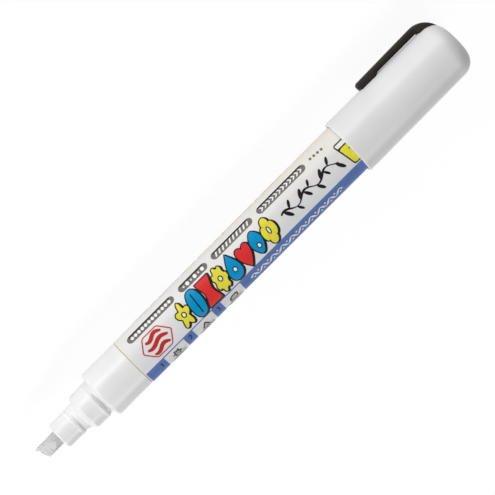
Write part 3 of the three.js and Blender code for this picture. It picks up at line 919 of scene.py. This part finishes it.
def badges():
    """The row of capsules on the clip's side, each with a bar and a chain of beads, and four spots."""
    low, high = 4.1, 6.8
    corner = (high - low) / 2
    bar_low, bar_high = high - 0.58, high - 0.12
    bead_low, bead_high = low + 0.5, high - 0.75
    middle, bead_half = (bead_low + bead_high) / 2, (bead_high - bead_low) / 2
    inset, bead_length = 1.1, 1.35
    for start, end, bead in BADGES:
        yield "ink_grey", 1, [panel(start, end, low, high, corner)]
        yield "ink_dark", 2, [panel(start + 0.8, end - 1.0, bar_low, bar_high, 0.2)]
        room = end - start - 2 * inset
        count = round(room / bead_length)
        half = 0.5 * room / count
        for k in range(count):
            centre = start + inset + half * (2 * k + 1)
            size = bead_half * (1 if k % 2 else 0.5)
            if bead == DOTS:
                yield "ink_white", 3, [oval(centre, middle, 0.8 * size, size, 18)]
            else:
                yield "ink_white", 3, [placed(bead, (centre, middle), (half, bead_half))]
    first_spot, spot_level = 74.2, 5.6
    for k in range(4):
        yield "ink_grey", 1, [oval(first_spot + 1.35 * k, spot_level - 0.12 * k, 0.42, 0.5, 16)]


def emblem():
    """A dark red six-sided frame with three waves in it."""
    centre, half = (8.7, -0.65), (5.55, 4.35)
    frame_width, row_pitch, wave_height, wave_width = 0.36, 2.05, 0.55, 1.25
    outer = smoothed(placed(polar(lambda angle: 1, 6), centre, half), 0.08, 2)
    yield "ink_crimson", 1, frame_between(outer, grown(outer, -frame_width))
    for row, reach in enumerate((2.95, 3.8, 2.95)):
        level = centre[1] + row_pitch * (1 - row)
        yield "ink_crimson", 1, drawn(
            32, lambda t: (centre[0] + reach * t, level + wave_height * math.sin(3.3 * t + 0.4)),
            lambda t: wave_width * (1 - 0.55 * abs(t) ** 3), start=-1.0)


def circle_steps(count):
    """Angles all round in equal steps, clockwise."""
    return [2 * math.pi * k / count for k in reversed(range(count))]


# The dark ring in a figure: how far above the row's level, half its width and half its height.
HIGH_RING = (0.2, 0.78, 0.9)
LOW_RING = (-0.9, 0.78, 0.9)
TALL_RING = (0.2, 0.62, 1.2)
VEIN = "vein"


def figure_row():
    """Shapes in a cell from -1 to 1 both ways, with the ink and the mark inside of each."""
    star = polar(lambda a: 0.78 + 0.24 * math.cos(5 * (a - math.pi / 2)))
    leaf = [(0.95 * math.sin(math.pi * k / 20) ** 0.8, 1.08 * math.cos(math.pi * k / 20)) for k in range(21)]
    leaf += [(-u, v) for u, v in reversed(leaf[1:-1])]
    leaf.reverse()
    hourglass = [(0.98 - 0.4 * math.cos(0.5 * math.pi * v) ** 2, v) for v in (k / 8 - 1 for k in range(17))]
    hourglass += [(-u, v) for u, v in reversed(hourglass)]
    cog = polar(lambda a: 0.88 + 0.1 * math.tanh(3 * math.cos(7 * a)), 112)
    drop = [(1.25 * math.sin(t) * math.sin(t / 2) ** 1.2, math.cos(t)) for t in circle_steps(40)]
    heart = [(math.sin(t) ** 3, (13 * math.cos(t) - 5 * math.cos(2 * t) - 2 * math.cos(3 * t)) / 16)
             for t in circle_steps(44)]
    kite = smoothed([(0, -1.12), (1.1, 0.15), (0, 1.1), (-1.1, 0.15)], 0.22)
    blossom = polar(lambda a: 0.7 + 0.33 * abs(math.cos(2 * a)) ** 0.6, 64)
    return (
        (star, "ink_yellow", HIGH_RING),
        (leaf, "ink_sky", VEIN),
        (hourglass, "ink_red", None),
        (cog, "ink_yellow", HIGH_RING),
        (drop, "ink_sky", LOW_RING),
        (heart, "ink_red", None),
        (kite, "ink_sky", LOW_RING),
        (blossom, "ink_yellow", TALL_RING),
    )


def figures():
    """The row of coloured figures with dark outlines and a drop shade, some with a vein or a ring."""
    start, pitch, level = 19.1, 4.72, -0.85
    half = (2.3, 3.95)
    lean, ring_lean = 0.12, -0.1
    outline, ring_width = 0.36, 0.32
    shade = (0.3, -0.32)
    for k, (shape, name, mark) in enumerate(figure_row()):
        centre = (start + pitch * k, level)
        body = placed(shape, centre, half, lean)
        edge = grown(body, outline)
        yield "ink_dark", 1, [placed(edge, shade, (1, 1))]
        yield "ink_dark", 2, [edge]
        yield name, 3, [body]
        if mark == VEIN:
            vein = placed([(0, m / 10) for m in range(-8, 9)], centre, half, lean)
            yield "ink_dark", 4, stroke(vein, [OUTLINE] * len(vein))
        elif mark:
            lift, wide, high = mark
            yield "ink_dark", 4, [oval(centre[0], level + lift, wide, high, 28, ring_lean)]
            wide -= ring_width
            high -= ring_width
            yield "ink_white", 5, [oval(centre[0], level + lift, wide, high, 20, ring_lean)]


def twig():
    """A brushed stem that swings up and down, with leaves."""
    start, length, level, rise = 57.4, 21.6, -0.9, 0.7
    swing, swings = 0.9, 2.6
    leaves = 11

    def stem(t):
        """The stem's place at a share of its length."""
        return (start + length * t, level + swing * math.sin(2 * math.pi * swings * t + 0.6) + rise * t)

    yield "ink_dark", 1, drawn(140, stem, lambda t: 0.5 + 0.18 * math.sin(19 * t))
    for k in range(leaves):
        u, v = stem((k + 0.5) / leaves)
        side = 1 if k % 2 else -1
        size = 1.3 + 0.25 * math.cos(1.9 * k)
        yield "ink_dark", 1, [oval(u + 0.62 * size, v + side * 0.95 * size, size, 0.36 * size, 24, side)]


def pot():
    """A tapered pot with a white rim and a yellow body, half under the cap's edge."""
    low, high, near, far = -5.0, 3.2, 80.6, 90.4
    rim_low, body_high = 1.55, 1.15
    taper = 1.5

    def part(v_low, v_high, margin):
        """The part of the pot between two levels, in from its outline by a margin."""
        at_low, at_high = (margin + taper * (high - v) / (high - low) for v in (v_low, v_high))
        corners = [(near + at_low, v_low), (far - at_low, v_low), (far - at_high, v_high),
                   (near + at_high, v_high)]
        return smoothed(corners, 0.06, 2)

    yield "ink_dark", 1, [part(low, high, 0)]
    yield "ink_white", 2, [part(rim_low, high - OUTLINE, OUTLINE)]
    yield "ink_yellow", 2, [part(low + OUTLINE, body_high, OUTLINE)]
    for k in range(3):
        yield "ink_dark", 3, [oval((near + far) / 2, -0.3 - 1.6 * k, 1.9 - 0.45 * k, 0.28, 24)]


DIGITS = (
    [(-0.35, 0.62), (0.05, 1.0), (0.05, -1.0)],
    [(-0.5, 0.6), (-0.3, 0.92), (0.1, 1.0), (0.45, 0.75), (0.45, 0.35), (-0.55, -0.95), (0.55, -0.95)],
    [(-0.5, 0.85), (0.1, 1.0), (0.45, 0.65), (0.1, 0.1), (0.5, -0.4), (0.15, -0.95), (-0.5, -0.85)],
)


def band():
    """The blue band along the label's lower side, with numbered panels and a wave with dots."""
    top, bottom = -5.35, -16.2
    yield "ink_band", 1, [panel(0.0, LABEL_LENGTH, bottom, top, 0.01)]
    signs = (
        polar(lambda a: 1.0 + 0.25 * math.cos(6 * a), 60),
        smoothed([(-1.2, -1.0), (1.3, -1.0), (0.1, 1.2)], 0.15, 2),
        smoothed([(-1.3, -0.8), (1.0, -1.0), (1.3, 0.9), (-0.8, 0.7)], 0.2, 2),
    )
    first_panel, panel_pitch, panel_length, panel_low = 6.6, 11.0, 7.6, -13.6
    digit_level, sign_level, shade_level, rule_level = -7.4, -8.2, -9.6, -10.7
    sign_half, rule_pitch, rule_width = 1.35, 0.75, 0.3
    for k, (digit, sign) in enumerate(zip(DIGITS, signs)):
        start = first_panel + panel_pitch * k
        middle = start + panel_length / 2
        yield "ink_white", 2, [panel(start, start + panel_length, panel_low, top - OUTLINE, 0.3)]
        number = placed(digit, (start - 1.6, digit_level), (0.72, 0.95))
        yield "ink_dark", 2, stroke(number, [DIGIT_PEN] * len(number))
        yield "ink_pale", 3, [oval(middle + 0.5, shade_level, 2.5, 0.7, 28, 0.15)]
        outer = placed(sign, (middle, sign_level), (sign_half, sign_half))
        yield "ink_dark", 4, [outer]
        yield "ink_pale", 5, [grown(outer, -OUTLINE)]
        for m in range(3):
            low = rule_level - rule_pitch * m
            yield "ink_dark", 4, [panel(start + 0.9 + 0.5 * m, start + 6.6, low, low + rule_width, 0.1, 3)]
    first, last, level = 39.6, 75.0, -8.1
    humps, hump_height, dot_height, dot_half = 19, 0.85, 0.72, 0.34
    yield "ink_white", 2, drawn(
        190, lambda t: (lerp(first, last, t), level + hump_height * math.sin(math.pi * humps * t)),
        lambda t: 0.52 + 0.2 * math.cos(2 * math.pi * humps * t))
    for k in range(humps):
        dot_level = level + (dot_height if k % 2 else -dot_height)
        yield "ink_white", 2, [oval(lerp(first, last, (k + 0.5) / humps), dot_level, dot_half, dot_half, 14)]


RULE_LENGTHS = (5.2, 2.4, 7.6, 3.4, 1.6)


def back():
    """Plain rules and squares on the label's far side."""
    first, long_row, short_row = 8.0, 80, 66
    first_level, row_pitch, rule_width, gap = 11.2, 1.35, 0.5, 0.9
    for row in range(7):
        level = first_level + row_pitch * row
        place = first
        k = row
        while place < (long_row if row % 3 else short_row):
            length = RULE_LENGTHS[k % len(RULE_LENGTHS)]
            yield "ink_grey", 1, [panel(place, place + length, level, level + rule_width, 0.2, 3)]
            place += length + gap
            k += 1
    first_square, pitch, length, low, high = 10, 7, 3.4, -21.6, -18.6
    for k in range(9):
        place = first_square + pitch * k
        yield "ink_band", 1, [panel(place, place + length, low, high, 0.7)]


def print_sheet(name, entries, ink_step):
    """One printed ink: thin closed sheets wrapped over the label, each at the height of its layer."""
    verts, faces = [], []
    for layer, shapes in entries:
        flat = bmesh.new()
        for shape in shapes:
            flat.faces.new([flat.verts.new((u, v, 0)) for u, v in shape])
        bmesh.ops.remove_doubles(flat, verts=flat.verts, dist=FLAT_WELD)
        bmesh.ops.triangulate(flat, faces=flat.faces)
        levels = [v.co.y for v in flat.verts]
        cut = math.ceil(min(levels) / CUT_STEP) * CUT_STEP
        while cut < max(levels):
            bmesh.ops.bisect_plane(flat, geom=flat.verts[:] + flat.edges[:] + flat.faces[:],
                                   plane_co=(0, cut, 0), plane_no=(0, 1, 0), dist=0.1 * FLAT_WELD)
            cut += CUT_STEP
        flat.verts.index_update()
        top = len(verts)
        bottom = top + len(flat.verts)
        for height in (ink_step * layer, -0.5 * ink_step):
            verts += [wrapped(v.co.x, v.co.y, height) for v in flat.verts]
        for face in flat.faces:
            loop = [v.index for v in face.verts]
            faces.append([top + i for i in loop])
            faces.append([bottom + i for i in reversed(loop)])
        for edge in flat.edges:
            if len(edge.link_faces) == 1:
                a, b = (v.index for v in edge.verts)
                faces.append([top + a, top + b, bottom + b, bottom + a])
        flat.free()
    return mesh_object(name, verts, faces, weld=False)


class MARKER_OT_label(bpy.types.Operator):
    """Adds the label's film, its overlapping seam and its prints"""

    bl_idname = "marker.label"
    bl_label = "Label"

    def execute(self, context):
        """Wraps the film and each ink round the barrel."""
        shape = context.scene.marker_shape
        thin = shape.label_thickness
        edge = 0.04 * MM
        film = turned("label_film", [
            (LABEL_TAIL, LABEL_TAIL_RADIUS, edge),
            (LABEL_FRONT, LABEL_FRONT_RADIUS, edge),
            (LABEL_FRONT, LABEL_FRONT_RADIUS - thin, 0),
            (LABEL_TAIL, LABEL_TAIL_RADIUS - thin, 0),
        ], sides=FILM_SIDES)
        settle(film, "barrel", "label_film", "label_film_white", "barrel_label")
        prints = {name: [] for name in INKS}
        for motif in (badges, emblem, figures, twig, pot, band, back):
            for name, layer, shapes in motif():
                prints[name].append((layer, shapes))
        for name, entries in prints.items():
            sheet = print_sheet("label_" + name, entries, shape.ink_step)
            settle(sheet, "barrel", "label_film", name)
        seam = math.pi * MIDDLE_RADIUS / MM
        overlap, inset = 2.6, 0.02
        flap_shape = panel(inset, LABEL_LENGTH - inset, seam - overlap, seam, 0.1)
        flap = print_sheet("label_seam", [(2, [flap_shape])], 1.6 * shape.ink_step)
        settle(flap, "barrel", "label_film", "label_film_white")
        return {"FINISHED"}


# Front


# Degrees round the nose from the label's front, towards the clip's side where they are positive.
RECESS_START, RECESS_FULL, RECESS_FADES, RECESS_END = -112, -84, -42, 42


def recess_share(angle):
    """How deep a recess of the nose is at an angle round it, as a share of its full depth."""
    turn = math.degrees(math.remainder(angle, 2 * math.pi))
    return (1 - smooth_step(RECESS_FADES, RECESS_END, turn)) * smooth_step(RECESS_START, RECESS_FULL, turn)


class MARKER_OT_front(bpy.types.Operator):
    """Adds the collar and the stepped nose that holds the nib"""

    bl_idname = "marker.front"
    bl_label = "Front"

    def execute(self, context):
        """Turns the collar and the nose."""
        shape = context.scene.marker_shape
        face = COLLAR_FRONT
        collar_bore = 5.25 * MM
        spigot = 6.27 * MM
        shoulder = BARREL_FRONT + 0.1 * MM
        collar = turned("collar", [
            (COLLAR_REAR, spigot, 0.2 * MM),
            (shoulder, spigot, 0),
            (shoulder, COLLAR_RADIUS, 0.12 * MM),
            (face, COLLAR_RADIUS, shape.collar_round),
            (face, collar_bore, 0.1 * MM),
            (COLLAR_REAR, collar_bore, 0.1 * MM),
        ])
        settle(collar, "barrel", "front_plastic", "front_white", "front_collar")
        seal, sleeve, core = 5.88 * MM, 4.28 * MM, 5.1 * MM
        sleeve_bore, holder_bore, mouth = 3.15 * MM, 3.55 * MM, 2.35 * MM
        neck = seal - shape.neck_depth
        ring = seal + shape.bead_height
        bead = sleeve + shape.bead_height
        groove = bead - shape.recess_depth
        core_end = face + 0.02 * MM
        ring_start = face + 1.75 * MM
        ring_end = ring_start + 0.6 * MM
        cone_start = ring_end + 4.0 * MM
        cone_end = cone_start + 1.45 * MM
        groove_start = cone_end + 0.75 * MM
        groove_end = groove_start + 1.35 * MM
        bead_end = groove_end + 0.7 * MM
        lip = SLEEVE_FRONT - 0.7 * MM
        recesses = ((face + 0.4 * MM, ring_start, seal), (groove_start, groove_end, bead))

        def recessed(x, radius, angle):
            """Lets the two recesses fade out before they reach the clip's side and the back."""
            for start, end, level in recesses:
                if start < x < end and holder_bore < radius < level:
                    return lerp(level, radius, recess_share(angle))
            return radius

        nose = turned("nose", [
            (HOLDER_REAR, core, 0.2 * MM),
            (core_end, core, 0),
            (core_end, seal, 0.05 * MM),
            (face + 0.45 * MM, seal, 0.2 * MM),
            (face + 0.8 * MM, neck, 0.2 * MM),
            (ring_start - 0.75 * MM, neck, 0.2 * MM),
            (ring_start + 0.05 * MM, ring, 0.12 * MM),
            (ring_end, ring, 0.16 * MM),
            (ring_end + 0.15 * MM, seal, 0.3 * MM),
            (cone_start, seal, 0.4 * MM),
            (cone_end, sleeve + 0.2 * MM, 0.5 * MM),
            (cone_end + 0.6 * MM, bead, 0.2 * MM),
            (groove_start, bead, 0.12 * MM),
            (groove_start + 0.4 * MM, groove, 0.3 * MM),
            (groove_end - 0.5 * MM, groove, 0.2 * MM),
            (groove_end + 0.05 * MM, bead, 0.12 * MM),
            (bead_end, bead, 0.2 * MM),
            (bead_end + 0.25 * MM, sleeve, 0.3 * MM),
            (SLEEVE_FRONT, sleeve - 0.05 * MM, 0.75 * MM),
            (SLEEVE_FRONT, mouth, 0.15 * MM),
            (lip, mouth, 0),
            (lip, sleeve_bore, 0),
            (cone_end, sleeve_bore, 0.2 * MM),
            (cone_end - 1.0 * MM, holder_bore, 0.2 * MM),
            (HOLDER_REAR, holder_bore, 0.2 * MM),
        ], radius_round=recessed)
        settle(nose, "barrel", "front_plastic", "front_white", "nib_holder")
        return {"FINISHED"}


# Nib


# Places across the nib, and how far behind its tip the worn edge lies there, in millimetres.
NIB_EDGE_PLACES = ((-2.2, 0.6), (-2.0, 0.08), (-1.5, 0.08), (-1.15, 0.7), (0.0, 0.73), (1.0, 1.05),
                   (2.2, 1.75))
NIB_SLANT = math.tan(math.radians(27.6))
NIB_BEVEL = math.tan(math.radians(20.5))
NIB_SKIN = 0.03 * MM
NIB_CUT_DEPTH = 0.14 * MM
NIB_SIDES = 128
NIB_ROWS = 190
FRAY_SCALE = 2400
FRAY_DEPTH = 0.08 * MM
FIBRE_SCALE = Vector((700, 4200, 4200))
FIBRE_DEPTH = 0.035 * MM
PORE_SCALE = 2600
PORE_DEPTH = 0.03 * MM


def nib_edge_at(y):
    """How far behind its tip the nib's worn edge lies, at a place across the nib."""
    for (left, left_back), (right, right_back) in zip(NIB_EDGE_PLACES, NIB_EDGE_PLACES[1:]):
        if y < right * MM:
            break
    share = min(1.0, max(0.0, (y / MM - left) / (right - left)))
    return lerp(left_back, right_back, share) * MM


class MARKER_OT_nib(bpy.types.Operator):
    """Adds the chisel nib of pressed fibre"""

    bl_idname = "marker.nib"
    bl_label = "Nib"

    def execute(self, context):
        """Stacks sections that lean over to the slanted edge and thin to the chisel."""
        shape = context.scene.marker_shape
        radius = NIB_RADIUS + NIB_SKIN
        corner = NIB_TIP - 0.02 * MM
        middle_tip = corner - radius * NIB_SLANT
        straight = NIB_REAR + 14 * MM
        edge_round, edge_round_depth = 0.28 * MM, 0.5 * MM
        worn_end, worn_full = 2.2 * MM, 0.2 * MM
        evenly_spaced = 0.15
        rows = numbered(NIB_ROWS + 1, NIB_SIDES)
        verts = []
        for row in range(NIB_ROWS + 1):
            t = row / NIB_ROWS
            t = t if t < evenly_spaced else (t + math.sin(0.5 * math.pi * t)) / 2
            x = lerp(NIB_REAR, middle_tip, t)
            lean = smooth_step(NIB_REAR, straight, x) * NIB_SLANT
            depth = middle_tip - x
            half = shape.nib_edge / 2 + depth * NIB_BEVEL
            half -= edge_round * (1 - min(1.0, depth / edge_round_depth)) ** 2
            wear = smooth_step(worn_end, worn_full, depth)
            bare = smooth_step(SLEEVE_FRONT - 2 * MM, SLEEVE_FRONT, x)
            for k in range(NIB_SIDES):
                angle = 2 * math.pi * k / NIB_SIDES
                y, z = -radius * math.cos(angle), radius * math.sin(angle)
                z = math.copysign(min(abs(z), half), z)
                frayed = FRAY_DEPTH * abs(noise.noise((y * FRAY_SCALE, 0, 5.5)))
                worn = corner - nib_edge_at(y) - frayed - (middle_tip - y * NIB_SLANT)
                place = Vector((x - y * lean + worn * wear, y, z))
                fibre = FIBRE_DEPTH * noise.noise(place * FIBRE_SCALE)
                pore = PORE_DEPTH * noise.noise(place * PORE_SCALE)
                inwards = Vector((0, -y, -z)).normalized()
                verts.append(place + inwards * (NIB_SKIN + (fibre + pore) * bare))
        faces = skin(rows)
        for ring in (rows[0], rows[-1]):
            for k in range(NIB_SIDES // 2):
                strip = (k, -k, -k - 1, k + 1)
                face = list(dict.fromkeys([ring[i] for i in strip]))
                if len(face) > 2:
                    faces.append(face)
        nib = mesh_object("chisel_nib", verts, faces)
        lay(nib, "nib_skin", "nib_cut")
        for polygon in nib.data.polygons:
            reach = math.hypot(polygon.center.y, polygon.center.z)
            polygon.material_index = 1 if reach < radius - NIB_CUT_DEPTH else 0
        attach(nib, "writing_tip")
        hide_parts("nib")
        return {"FINISHED"}


# Inner pieces


SPRING_WIRE_RADIUS = 0.25 * MM
SPRING_TURNS = 7
SPRING_STEPS = 24
SPRING_SIDES = 8


class MARKER_OT_spring(bpy.types.Operator):
    """Makes the valve's spring at one fixed length; the real spring shortens as the nib is pressed"""

    bl_idname = "marker.spring"
    bl_label = "Valve spring"

    def execute(self, context):
        """Builds the coil."""
        (low_x, _, _), (high_x, _, high_z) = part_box("valve_spring")
        radius = high_z - SPRING_WIRE_RADIUS
        length = high_x - low_x - 2 * SPRING_WIRE_RADIUS
        count = SPRING_TURNS * SPRING_STEPS
        verts = []
        for i in range(count + 1):
            turn = 2 * math.pi * i / SPRING_STEPS
            middle = low_x + SPRING_WIRE_RADIUS + length * i / count
            for k in range(SPRING_SIDES):
                side = 2 * math.pi * k / SPRING_SIDES
                reach = radius + SPRING_WIRE_RADIUS * math.cos(side)
                x = middle + SPRING_WIRE_RADIUS * math.sin(side)
                verts.append((x, reach * math.cos(turn), reach * math.sin(turn)))
        rings = numbered(count + 1, SPRING_SIDES)
        spring = mesh_object("coil_spring", verts, skin(rings) + [rings[0], rings[-1]])
        settle(spring, "barrel", "steel", "bright_steel", "valve_spring")
        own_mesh(spring)
        return {"FINISHED"}


INNER_FINISHES = {
    "nib_liner": "core_natural",
    "valve_case": "core_natural",
    "valve_rod": "core_natural",
    "valve_seat": "seat_rubber",
    "mixing_ball_1": "bright_steel",
    "mixing_ball_2": "bright_steel",
}


class MARKER_OT_inner_pieces(bpy.types.Operator):
    """Gives the valve, the nib's liner and the mixing balls their finishes"""

    bl_idname = "marker.inner_pieces"
    bl_label = "Inner pieces"

    def execute(self, context):
        """Sets the material of each CAD node that stays."""
        for node, name in INNER_FINISHES.items():
            mesh = frame["nodes"][node].data
            mesh.materials.clear()
            mesh.materials.append(finish(name))
        return {"FINISHED"}


# Stage


LAMP_DISTANCE = 0.7
LAMP_WIDTH = 0.3
LAMP_HEIGHT = 0.2

# Name, elevation, side, the property that holds its pair's power, and its share of that.
LAMPS = (
    ("front_lamp_middle", 3, 0, "front_power", 0.56),
    ("front_lamp_cap", 3, -38, "front_power", 0.44),
    ("nib_lamp_near", 25, 38, "nib_power", 0.42),
    ("nib_lamp_beyond", 5, 66, "nib_power", 0.58),
    ("back_lamp_middle", 125, 0, "back_power", 0.5),
    ("back_lamp_nib", 135, 38, "back_power", 0.5),
)

# The camera sees the floor's glow and little of its own grey, which leaves a faint shadow.
FLOOR_REACH = 4.0
FLOOR_STEPS = 4
FLOOR_GREY = 0.5
FLOOR_GLOW = 0.93
FLOOR_HIDDEN = 0.79

# Places round the marker before it is turned as it lies.
CAMERA_PLACE = Vector((92.0, -0.12, 730.0)) * MM
CAMERA_TARGET = Vector((81.94, -0.11, 0)) * MM
CAMERA_ROLL = math.radians(-135.04)


def lamp(name, target, elevation, side, energy):
    """A soft lamp. Elevation runs from the clip's side over the top to the back, side towards the nib."""
    e, s = math.radians(elevation), math.radians(side)
    way = Vector((math.sin(s), -math.cos(s) * math.cos(e), math.cos(s) * math.sin(e)))
    light = bpy.data.lights.new(name, "AREA")
    light.shape = "RECTANGLE"
    light.size, light.size_y = LAMP_WIDTH, LAMP_HEIGHT
    light.energy = energy
    made = bpy.data.objects.new(name, light)
    made.location = target + LAMP_DISTANCE * way
    made.rotation_euler = way.to_track_quat("Z", "Y").to_euler()
    bpy.context.scene.collection.objects.link(made)


def seeing_rays(tree):
    """1 for the rays that show the background, straight, mirrored or through glass, and 0 for light."""
    rays = tree.nodes.new("ShaderNodeLightPath").outputs
    direct = maths(tree, "MAXIMUM", rays["Is Camera Ray"], rays["Is Glossy Ray"])
    return maths(tree, "MAXIMUM", direct, rays["Is Transmission Ray"])


def floor_material():
    """White to the camera and to reflections, with the marker's shadow kept."""
    made = bpy.data.materials.new("studio_floor")
    made.use_nodes = True
    tree = made.node_tree
    tree.nodes.clear()
    lit = tree.nodes.new("ShaderNodeBsdfDiffuse")
    lit.inputs["Color"].default_value = (FLOOR_GREY, FLOOR_GREY, FLOOR_GREY, 1)
    glow = tree.nodes.new("ShaderNodeEmission")
    glow.inputs["Color"].default_value = (1, 1, 1, 1)
    seen = seeing_rays(tree)
    tree.links.new(maths(tree, "MULTIPLY", seen, FLOOR_GLOW), glow.inputs["Strength"])
    share = maths(tree, "SUBTRACT", 1.0, maths(tree, "MULTIPLY", seen, FLOOR_HIDDEN))
    dimmed = tree.nodes.new("ShaderNodeMixShader")
    tree.links.new(share, dimmed.inputs[0])
    tree.links.new(lit.outputs[0], dimmed.inputs[2])
    both = tree.nodes.new("ShaderNodeAddShader")
    end = tree.nodes.new("ShaderNodeOutputMaterial")
    tree.links.new(dimmed.outputs[0], both.inputs[0])
    tree.links.new(glow.outputs[0], both.inputs[1])
    tree.links.new(both.outputs[0], end.inputs["Surface"])
    return made


def add_floor():
    """A wide floor just below the marker."""
    level = cad_low.z - 0.1 * MM
    places = [lerp(-FLOOR_REACH, FLOOR_REACH, i / FLOOR_STEPS) for i in range(FLOOR_STEPS + 1)]
    verts = [(x, y, level) for x in places for y in places]
    rows = numbered(len(places), len(places))
    faces = [(one[k], two[k], two[k + 1], one[k + 1])
             for one, two in zip(rows, rows[1:]) for k in range(FLOOR_STEPS)]
    mesh = bpy.data.meshes.new("floor")
    mesh.from_pydata(verts, [], faces)
    mesh.materials.append(floor_material())
    floor = bpy.data.objects.new("floor", mesh)
    bpy.context.scene.collection.objects.link(floor)


def add_world_light(ambient):
    """Even light all round, white where the camera or a reflection sees it."""
    world = bpy.data.worlds.new("studio")
    world.use_nodes = True
    bpy.context.scene.world = world
    tree = world.node_tree
    back_light = tree.nodes["Background"]
    back_light.inputs["Color"].default_value = (1, 1, 1, 1)
    tree.links.new(maths(tree, "MAXIMUM", seeing_rays(tree), ambient), back_light.inputs["Strength"])


def add_camera(focal_length):
    """The camera over the label's front, turned so that the marker lies across the picture."""
    lens = bpy.data.cameras.new("camera")
    lens.lens = focal_length
    lens.sensor_width = 36.0
    lens.clip_end = 20.0
    camera = bpy.data.objects.new("camera", lens)
    bpy.context.scene.collection.objects.link(camera)
    place = LYING @ CAMERA_PLACE
    image_up = LYING @ Vector((math.cos(CAMERA_ROLL), math.sin(CAMERA_ROLL), 0))
    backwards = (place - LYING @ CAMERA_TARGET).normalized()
    right = image_up.cross(backwards).normalized()
    up = backwards.cross(right)
    axes = Matrix((right, up, backwards)).transposed()
    camera.matrix_world = Matrix.Translation(place) @ axes.to_4x4()
    bpy.context.scene.camera = camera


class MARKER_OT_stage(bpy.types.Operator):
    """Adds the floor, the lamps, the world light and the camera"""

    bl_idname = "marker.stage"
    bl_label = "Stage"

    def execute(self, context):
        """Builds the studio round the marker."""
        stage = context.scene.marker_stage
        add_floor()
        centre = Vector(((cad_low.x + cad_high.x) / 2, 0, 0))
        for name, elevation, side, power_name, share in LAMPS:
            lamp(name, centre, elevation, side, share * getattr(stage, power_name))
        add_world_light(stage.ambient)
        add_camera(stage.lens)
        context.scene.view_settings.view_transform = "Standard"
        return {"FINISHED"}


OPERATORS = (MARKER_OT_cap, MARKER_OT_clip, MARKER_OT_barrel, MARKER_OT_label, MARKER_OT_front, MARKER_OT_nib,
             MARKER_OT_spring, MARKER_OT_inner_pieces, MARKER_OT_stage)


class MARKER_PT_panel(bpy.types.Panel):
    """Lists the marker's pieces, sizes and colours"""

    bl_idname = "MARKER_PT_panel"
    bl_label = "Paint marker"
    bl_space_type = "VIEW_3D"
    bl_region_type = "UI"
    bl_category = "Marker"

    def draw(self, context):
        """Draws the list."""
        layout = self.layout
        for operator in OPERATORS:
            layout.operator(operator.bl_idname)
        for group in (context.scene.marker_shape, context.scene.marker_colours, context.scene.marker_stage):
            box = layout.box()
            for name in group.__annotations__:
                box.prop(group, name)


CLASSES = (MarkerShape, MarkerColours, MarkerStage, *OPERATORS, MARKER_PT_panel)


def register():
    """Adds the classes and the scene's settings."""
    for each in CLASSES:
        bpy.utils.register_class(each)
    bpy.types.Scene.marker_shape = PointerProperty(type=MarkerShape)
    bpy.types.Scene.marker_colours = PointerProperty(type=MarkerColours)
    bpy.types.Scene.marker_stage = PointerProperty(type=MarkerStage)


def unregister():
    """Takes the classes and the settings away."""
    del bpy.types.Scene.marker_stage
    del bpy.types.Scene.marker_colours
    del bpy.types.Scene.marker_shape
    for each in reversed(CLASSES):
        bpy.utils.unregister_class(each)


def main():
    """Builds every piece in order."""
    register()
    for operator in OPERATORS:
        group, name = operator.bl_idname.split(".")
        getattr(getattr(bpy.ops, group), name)()


if __name__ == "__main__":
    main()
